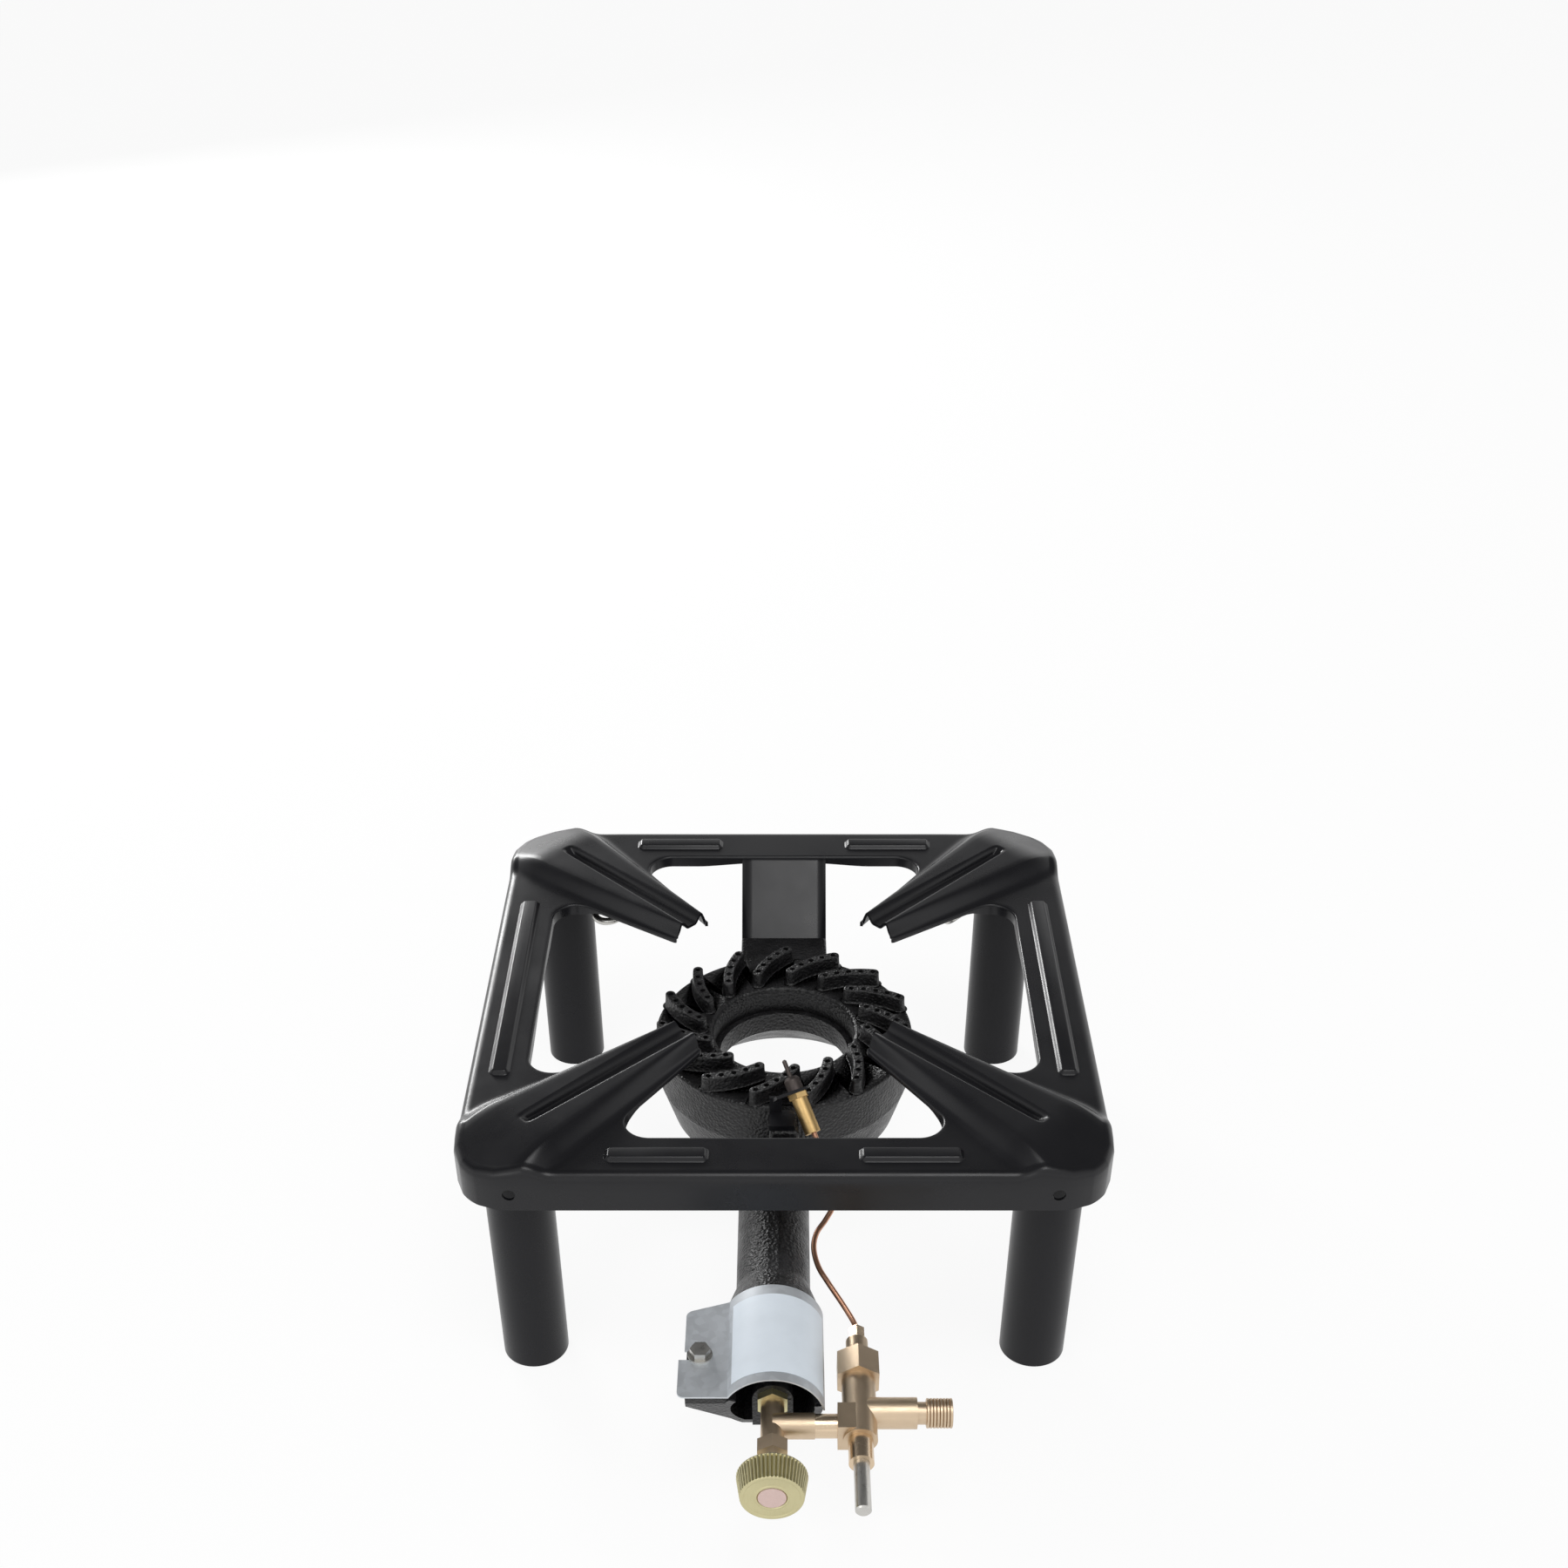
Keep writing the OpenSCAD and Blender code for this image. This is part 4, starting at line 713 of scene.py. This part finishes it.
def spline(points, steps):
    """Smooth curve through points: a cubic on each span whose slopes come from the neighbours."""
    p = np.asarray(points, float)
    p = np.concatenate([[p[0]], p, [p[-1]]])
    a, b, c, d = (p[k:len(p) - 3 + k, None] for k in range(4))
    t = np.linspace(0, 1, steps, endpoint=False)[None, :, None]
    square, cube = 2 * a - 5 * b + 4 * c - d, 3 * b - a - 3 * c + d
    curve = 0.5 * (2 * b + (c - a) * t + square * t ** 2 + cube * t ** 3)
    return np.concatenate([curve.reshape(-1, 3), p[-1:]])


def tube(curve, side, radius, count):
    """Circle carried along a curve, in the plane of a side vector and one square to both."""
    rise = np.cross(side, ways(curve))
    cosine, sine = np.moveaxis(circle(full_turn(count)), -1, 0)[:, None, :, None]
    return curve[:, None] + radius * (cosine * side[:, None] + sine * rise[:, None])


def make_lead(sizes, material):
    """Copper lead from the thermocouple to the safety valve, a stiff bent tube."""
    curve = spline(LEAD_ROUTE, 10)
    side = np.cross(ways(curve), [0.0, 0.0, 1.0])
    side /= np.linalg.norm(side, axis=1)[:, None]
    piece = closed_piece("lead_tube", [tube(curve, side, sizes.lead, 20)])
    dress(piece, STOVE, "copper", material, "copper_lead")
    path = put_mm(curve)


# Springs: solid, front, rear, radius, wire, turns, share of the length when pushed
SPRINGS = [
    ("disc_spring", -228.0, -213.5, 4.5, 0.9, 6, 0.68),
    ("pin_spring", -249.0, -240.0, 2.75, 0.7, 6, 0.49),
]


def make_spring(node, low, high, radius, wire, turns, keep, material):
    """Spring: a circle carried along a helix about the safety valve's axis; its share of the length when
    pushed is not used.
    """
    share = np.linspace(0, 1, turns * 24 + 1)
    x, z = np.moveaxis(circle(2 * np.pi * turns * share), -1, 0)
    out = np.stack([x, np.zeros_like(x), z], -1)
    y = low + wire / 2 + (high - low - wire) * share
    curve = np.stack([np.full_like(y, SAFETY_X), y, np.full_like(y, AXIS_Z)], -1) + radius * out
    piece = closed_piece(node + "_coil", [tube(curve, out, wire / 2, 8)])
    dress(piece, STOVE, "steel", material, node)
    anchor = put_mm((SAFETY_X, high, AXIS_Z))[0].tolist()
    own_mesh(piece)


class NodeSheet:
    """A node tree with short calls for adding nodes and links."""

    def __init__(self, tree):
        self.tree = tree

    def add(self, kind, inputs=None, **settings):
        """New node with its settings, then its inputs: a socket is linked, a value is set."""
        node = self.tree.nodes.new(kind)
        for key, value in settings.items():
            setattr(node, key, value)
        for key, value in (inputs or {}).items():
            if isinstance(value, bpy.types.NodeSocket):
                self.link(value, node.inputs[key])
            else:
                node.inputs[key].default_value = value
        return node

    def link(self, a, b):
        """Link from an output to an input."""
        self.tree.links.new(a, b)

    def group(self, tree, **inputs):
        """Outputs of a node group placed with its inputs."""
        return self.add("ShaderNodeGroup", inputs, node_tree=tree).outputs

    def math(self, operation, a, b):
        """Sum, product or the like of two values."""
        return self.add("ShaderNodeMath", {0: a, 1: b}, operation=operation).outputs[0]

    def noise(self, where, scale, detail, roughness):
        """Noise over a place, as a value."""
        inputs = {"Vector": where, "Scale": scale, "Detail": detail, "Roughness": roughness}
        return self.add("ShaderNodeTexNoise", inputs).outputs["Fac"]

    def span(self, value, low, high, out_low, out_high):
        """Value carried from one range to another, held at its ends."""
        inputs = {"Value": value, "From Min": low, "From Max": high, "To Min": out_low, "To Max": out_high}
        return self.add("ShaderNodeMapRange", inputs).outputs["Result"]

    def two_tone(self, share, base, first, second):
        """Colour between two tones of a base, each a factor of it, by a share."""
        inputs = {"Factor": share, "A": (*scaled(base, first), 1), "B": (*scaled(base, second), 1)}
        return self.add("ShaderNodeMix", inputs, data_type="RGBA").outputs["Result"]


class MaterialSheet(NodeSheet):
    """Node sheet of a new material with one Principled shader."""

    def __init__(self, name, metallic, roughness, spec=0.5):
        self.material = bpy.data.materials.new(name)
        self.material.use_nodes = True
        super().__init__(self.material.node_tree)
        self.shader = self.tree.nodes["Principled BSDF"]
        self.shader.inputs["Metallic"].default_value = metallic
        self.shader.inputs["Roughness"].default_value = roughness
        self.shader.inputs["Specular IOR Level"].default_value = spec

    def surface(self, tone, gloss, height, strength, distance=0.0002):
        """The material, with a colour, a roughness and a bump from a height."""
        bump = self.add("ShaderNodeBump", {"Height": height, "Strength": strength, "Distance": distance})
        sockets = self.shader.inputs
        self.link(tone, sockets["Base Color"])
        self.link(gloss, sockets["Roughness"])
        self.link(bump.outputs["Normal"], sockets["Normal"])
        return self.material


def scaled(base, factor):
    """Colour made darker or paler by a factor."""
    return tuple(min(1.0, c * factor) for c in base)


def new_group(name, inputs, outputs):
    """Shader group with inputs and their defaults, and outputs, as (sheet, inputs, outputs)."""
    tree = bpy.data.node_groups.new(name, "ShaderNodeTree")
    for label, value in inputs.items():
        kind = "NodeSocketVector" if isinstance(value, tuple) else "NodeSocketFloat"
        tree.interface.new_socket(name=label, in_out="INPUT", socket_type=kind).default_value = value
    for label in outputs:
        tree.interface.new_socket(name=label, in_out="OUTPUT", socket_type="NodeSocketFloat")
    sheet = NodeSheet(tree)
    return sheet, sheet.add("NodeGroupInput").outputs, sheet.add("NodeGroupOutput").inputs


@functools.cache
def grain_group():
    """Grain: fine noise and pits give a height, coarse noise gives a patchy mask."""
    inputs = {"Fine": 900.0, "Coarse": 60.0, "Pits": 0.4}
    sheet, source, sink = new_group("grain", inputs, ("Height", "Patches"))
    where = sheet.add("ShaderNodeTexCoord").outputs["Object"]
    fine = sheet.noise(where, source["Fine"], 4.0, 0.6)
    coarse = sheet.noise(where, source["Coarse"], 5.0, 0.55)
    cells = sheet.add("ShaderNodeTexVoronoi", {"Vector": where, "Scale": source["Fine"]})
    pit = sheet.math("MULTIPLY", cells.outputs["Distance"], source["Pits"])
    sheet.link(sheet.math("ADD", fine, pit), sink["Height"])
    sheet.link(coarse, sink["Patches"])
    return sheet.tree


@functools.cache
def scuff_group():
    """Scuffs: stretched noise gives fine lines, and a broad noise says where they show."""
    inputs = {"Scale": 60.0, "Stretch": (1.0, 14.0, 1.0)}
    sheet, source, sink = new_group("scuffs", inputs, ("Lines", "Haze"))
    where = sheet.add("ShaderNodeTexCoord").outputs["Object"]
    pulled = sheet.add("ShaderNodeVectorMath", {0: where, 1: source["Stretch"]}, operation="MULTIPLY")
    sheet.link(sheet.noise(pulled.outputs[0], source["Scale"], 6.0, 0.7), sink["Lines"])
    sheet.link(sheet.noise(where, 22.0, 4.0, 0.6), sink["Haze"])
    return sheet.tree


def enamel(name, base, fine=500.0, spec=0.32):
    """Semi-gloss black enamel: faint orange peel, patchy tone and hazy gloss."""
    sheet = MaterialSheet(name, 0.0, 0.34, spec)
    grain = sheet.group(grain_group(), Fine=fine, Coarse=30.0)
    tone = sheet.two_tone(grain["Patches"], base, 0.85, 1.25)
    gloss = sheet.span(sheet.group(scuff_group())["Haze"], 0.3, 0.7, 0.24, 0.36)
    return sheet.surface(tone, gloss, grain["Height"], 0.03)


def cast(name, base):
    """Painted sand casting: coarse grain, pits and patchy grey."""
    sheet = MaterialSheet(name, 0.0, 0.4, 0.45)
    grain = sheet.group(grain_group(), Fine=650.0, Coarse=110.0, Pits=1.0)
    tone = sheet.two_tone(sheet.span(grain["Patches"], 0.35, 0.68, 0.0, 1.0), base, 0.6, 1.5)
    gloss = sheet.span(grain["Patches"], 0.3, 0.7, 0.28, 0.48)
    return sheet.surface(tone, gloss, grain["Height"], 0.7, 0.0006)


def metal(name, base, dark, roughness, stretch, lines=0.25):
    """Bare or plated metal: base and darker tone by haze, turning lines in roughness and bump."""
    sheet = MaterialSheet(name, 1.0, roughness)
    scuffs = sheet.group(scuff_group(), Scale=260.0, Stretch=stretch)
    tone = sheet.two_tone(sheet.span(scuffs["Haze"], 0.35, 0.7, 0.0, 1.0), base, 1.0, dark)
    gloss = sheet.span(scuffs["Lines"], 0.3, 0.7, roughness * 0.75, roughness * 1.35)
    return sheet.surface(tone, gloss, scuffs["Lines"], lines)


def spangle(name, base):
    """Galvanised sheet: zinc crystals as flat cells of slightly different tone and gloss."""
    sheet = MaterialSheet(name, 1.0, 0.58)
    where = sheet.add("ShaderNodeTexCoord").outputs["Object"]
    cells = sheet.add("ShaderNodeTexVoronoi", {"Vector": where, "Scale": 300.0})
    cell = sheet.add("ShaderNodeSeparateColor", {"Color": cells.outputs["Color"]}).outputs["Red"]
    tone, gloss = sheet.two_tone(cell, base, 0.95, 1.05), sheet.span(cell, 0.0, 1.0, 0.56, 0.62)
    return sheet.surface(tone, gloss, sheet.group(scuff_group())["Lines"], 0.03)


def plain(name, base, roughness, fine=700.0, strength=0.1):
    """Plain finish with a small grain, for paper, rubber, packing and the knob's disc."""
    sheet = MaterialSheet(name, 0.0, roughness)
    grain = sheet.group(grain_group(), Fine=fine)
    tone = sheet.two_tone(grain["Patches"], base, 0.9, 1.08)
    gloss = sheet.span(grain["Patches"], 0.3, 0.7, roughness * 0.9, min(1.0, roughness * 1.1))
    return sheet.surface(tone, gloss, grain["Height"], strength, 0.0003)


# Finishes: maker, name, scene's colour or a fixed one, its factor, and the maker's other values
FINISH_TABLE = {
    "enamel": (enamel, "black enamel", "enamel", 1),
    "leg": (enamel, "leg enamel", "enamel", 1.1, 420, 0.2),
    "cast": (cast, "crown casting", "cast", 1),
    "bowl": (cast, "bowl casting", "cast", 1.15),
    "zinc": (metal, "zinc plate", "zinc", 1, 0.82, 0.32, (1, 1, 6), 0.1),
    "galvanised": (spangle, "galvanised sheet", "galvanised", 1),
    "label": (plain, "blank label", "label", 1, 0.45, 300, 0.03),
    "brass": (metal, "machined brass", "brass", 1, 0.84, 0.38, (1, 12, 1)),
    "bright brass": (metal, "bright brass", "brass", 1.08, 0.88, 0.22, (1, 12, 1), 0.15),
    # The thermocouple sleeve's brass is its own more golden tone, made paler than the other brass as painted
    # light for the bright light it catches
    "sleeve": (metal, "golden brass", (0.78, 0.54, 0.24), 1, 0.8, 0.42, (1, 1, 8), 0.1),
    "chromate": (metal, "yellow chromate", "chromate", 1, 0.86, 0.4, (6, 1, 1), 0.1),
    "disc": (plain, "knob disc", (0.62, 0.46, 0.42), 1, 0.5),
    "packing": (plain, "packing", (0.85, 0.85, 0.83), 1, 0.6),
    "seal": (plain, "seal", (0.02, 0.02, 0.02), 1, 0.7),
    "steel": (metal, "steel", (0.55, 0.55, 0.55), 1, 0.8, 0.35, (1, 10, 1), 0.1),
    "probe": (metal, "heated steel", (0.10, 0.085, 0.08), 1, 0.6, 0.5, (8, 1, 1), 0.2),
    "copper": (metal, "drawn copper", "copper", 1, 0.72, 0.34, (1, 6, 1), 0.1),
}


@functools.cache
def finish(key):
    """Material of a finish, made at its first use."""
    maker, name, base, factor, *values = FINISH_TABLE[key]
    if isinstance(base, str):
        base = getattr(bpy.context.scene.burner_finishes, base)
    return maker(name, scaled(base, factor), *values)


CORNERS = ("front_left", "front_right", "rear_left", "rear_right")
# Finishes of the solids that stay in view
NODE_FINISH = {
    "leg": [kind + corner for kind in ("leg_", "leg_stub_") for corner in CORNERS] + ["clamp_nuts"],
    "zinc": ["eye_bolt_" + corner for corner in CORNERS] + [
        "crown_screws", "rear_mount_bolts", "front_mount_bolt", "shutter_bolt", "shutter_washer",
        "shutter_nut", "push_pin"],
    "chromate": ["jet_lock_nut"],
    "bowl": ["burner_bowl"],
    "galvanised": ["air_shutter"],
    "label": ["shutter_label"],
    "brass": ["jet", "valve_body", "gland_nut", "safety_body", "magnet_cap_nut"],
    "bright brass": ["valve_nipple", "thermocouple_nut", "pin_sleeve"],
    "sleeve": ["thermocouple_sleeve"],
    "disc": ["knob_disc"],
    "packing": ["gland_packing"],
    "seal": ["valve_disc", "pin_seal"],
    "steel": ["valve_spindle", "magnet_unit"],
    "probe": ["thermocouple_probe"],
    "enamel": ["thermocouple_bracket"],
}

# Camera: place in metres, tilt in degrees, sensor and lens in millimetres, shift
CAMERA_AT, CAMERA_DOWN, SENSOR, LENS, SHIFT = (0.0, -0.73262, 0.68513), 40.17, 36.0, 44.10, 0.2444
# Soft boxes: name, place, aim, size, watts
LIGHTS = (
    ("back light", (-1.2, 2.0, 0.75), (0.0, 0.1, 0.1), (1.0, 0.5), 34.0),
    ("top light", (0.2, -0.5, 1.9), (0.0, 0.0, 0.1), (0.8, 0.8), 10.0),
    ("front light", (-0.9, -1.4, 0.9), (0.0, -0.1, 0.06), (0.7, 0.7), 3.0),
)
# Floor: half its side, its height, its reflectance, and its share of plain white when seen
FLOOR_HALF, FLOOR_Z, FLOOR_WHITE, FLOOR_SEEN = 6.0, -0.0005, 0.92, 0.9


def make_camera(scene):
    """Camera at the photograph's view."""
    camera = bpy.data.cameras.new("view")
    camera.sensor_width, camera.lens, camera.shift_y = SENSOR, LENS, SHIFT
    holder = bpy.data.objects.new("view", camera)
    holder.location = CAMERA_AT
    holder.rotation_euler = (np.radians(90 - CAMERA_DOWN), 0.0, 0.0)
    scene.collection.objects.link(holder)
    scene.camera = holder


def make_floor():
    """Floor in one grid, near white, and plain white to the camera and in reflections."""
    side = np.linspace(-FLOOR_HALF, FLOOR_HALF, 9)
    x, y = np.meshgrid(side / MM, side / MM - SHIFT_Y, indexing="ij")
    g = np.stack([x, y, np.full_like(x, FLOOR_Z / MM)], -1)
    floor = new_piece("floor", g, grid_quads(9, 9)[:, ::-1])
    sheet = MaterialSheet("floor white", 0.0, 0.9, 0.0)
    sheet.shader.inputs["Base Color"].default_value = (FLOOR_WHITE, FLOOR_WHITE, FLOOR_WHITE, 1)
    path = sheet.add("ShaderNodeLightPath").outputs
    seen = sheet.math("MAXIMUM", path["Is Camera Ray"], path["Is Glossy Ray"])
    seen = sheet.math("MAXIMUM", seen, path["Is Transmission Ray"])
    glow = sheet.add("ShaderNodeEmission", {"Color": (1, 1, 1, 1), "Strength": 1.0}).outputs[0]
    inputs = {0: sheet.math("MULTIPLY", seen, FLOOR_SEEN), 1: sheet.shader.outputs[0], 2: glow}
    mix = sheet.add("ShaderNodeMixShader", inputs)
    sheet.link(mix.outputs[0], sheet.tree.nodes["Material Output"].inputs["Surface"])
    floor.data.materials.append(sheet.material)


def make_world(scene):
    """Studio: white backdrop round the horizon, dim ceiling, wide soft light high behind the camera."""
    world = bpy.data.worlds.new("studio")
    world.use_nodes = True
    sheet = NodeSheet(world.node_tree)
    background = world.node_tree.nodes["Background"]
    way = sheet.add("ShaderNodeTexCoord").outputs["Generated"]
    parts = sheet.add("ShaderNodeSeparateXYZ", {"Vector": way}).outputs
    backdrop = sheet.span(parts["Z"], 0.24, 0.58, 1.2, 0.13)
    behind = sheet.span(parts["Y"], -0.05, -0.45, 0.0, 0.8)
    above = sheet.span(parts["Z"], 0.35, 0.55, 0.0, 1.0)
    strength = sheet.math("ADD", backdrop, sheet.math("MULTIPLY", behind, above))
    sheet.link(strength, background.inputs["Strength"])
    background.inputs["Color"].default_value = (1, 1, 1, 1)
    scene.world = world


def make_light(scene, name, place, aim, size, watts):
    """Soft box that looks at a point."""
    lamp = bpy.data.lights.new(name, "AREA")
    lamp.shape, lamp.energy = "RECTANGLE", watts
    lamp.size, lamp.size_y = size
    holder = bpy.data.objects.new(name, lamp)
    holder.location = place
    holder.rotation_euler = (Vector(aim) - Vector(place)).to_track_quat("-Z", "Y").to_euler()
    scene.collection.objects.link(holder)


class BURNER_OT_stage(bpy.types.Operator):
    """Make the floor, the light and the camera at the photograph's view"""

    bl_idname = "burner.stage"
    bl_label = "Stage"

    def execute(self, context):
        scene = context.scene
        scene.view_settings.view_transform = "Standard"
        make_camera(scene)
        make_floor()
        make_world(scene)
        for row in LIGHTS:
            make_light(scene, *row)
        return {"FINISHED"}


class BURNER_OT_frame(bpy.types.Operator):
    """Make the pressed frame with its arms, beads and hanger strips"""

    bl_idname = "burner.frame"
    bl_label = "Pressed frame"

    def execute(self, context):
        make_frame(context.scene.burner_frame, finish("enamel"))
        return {"FINISHED"}


class BURNER_OT_crown(bpy.types.Operator):
    """Make the cast crown with its ridges and ports"""

    bl_idname = "burner.crown"
    bl_label = "Cast crown"

    def execute(self, context):
        make_crown(context.scene.burner_crown, finish("cast"))
        return {"FINISHED"}


class BURNER_OT_fittings(bpy.types.Operator):
    """Make the knurled knob, the copper lead and the safety valve's springs"""

    bl_idname = "burner.fittings"
    bl_label = "Knob, lead and springs"

    def execute(self, context):
        sizes = context.scene.burner_fittings
        make_knob(sizes, finish("chromate"))
        make_lead(sizes, finish("copper"))
        for row in SPRINGS:
            make_spring(*row, finish("steel"))
        return {"FINISHED"}


class BURNER_OT_solids(bpy.types.Operator):
    """Give the solids that stay in view their finishes"""

    bl_idname = "burner.solids"
    bl_label = "Finishes"

    def execute(self, context):
        for key, nodes in NODE_FINISH.items():
            for node in nodes:
                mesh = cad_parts[node].data
                mesh.materials.clear()
                mesh.materials.append(finish(key))
        return {"FINISHED"}


class BURNER_PT_panel(bpy.types.Panel):
    """Steps that dress the burner, in their order"""

    bl_label = "Wok burner"
    bl_space_type = "VIEW_3D"
    bl_region_type = "UI"
    bl_category = "Wok burner"

    def draw(self, context):
        for step in STEPS:
            self.layout.operator(step)


STEPS = ("burner.stage", "burner.frame", "burner.crown", "burner.fittings", "burner.solids")
CLASSES = (FrameSizes, BurnerSizes, FittingSizes, Finishes, BURNER_OT_stage, BURNER_OT_frame, BURNER_OT_crown,
           BURNER_OT_fittings, BURNER_OT_solids, BURNER_PT_panel)
GROUPS = {"burner_frame": FrameSizes, "burner_crown": BurnerSizes, "burner_fittings": FittingSizes,
          "burner_finishes": Finishes}


def register():
    """Registers the classes and gives the scene its property groups."""
    for cls in CLASSES:
        bpy.utils.register_class(cls)
    for name, group in GROUPS.items():
        setattr(bpy.types.Scene, name, PointerProperty(type=group))


def unregister():
    """Takes the property groups and the classes away again."""
    for name in GROUPS:
        delattr(bpy.types.Scene, name)
    for cls in reversed(CLASSES):
        bpy.utils.unregister_class(cls)


def main():
    """Runs the steps in order."""
    register()
    for step in STEPS:
        group, name = step.split(".")
        getattr(getattr(bpy.ops, group), name)()


if __name__ == "__main__":
    main()
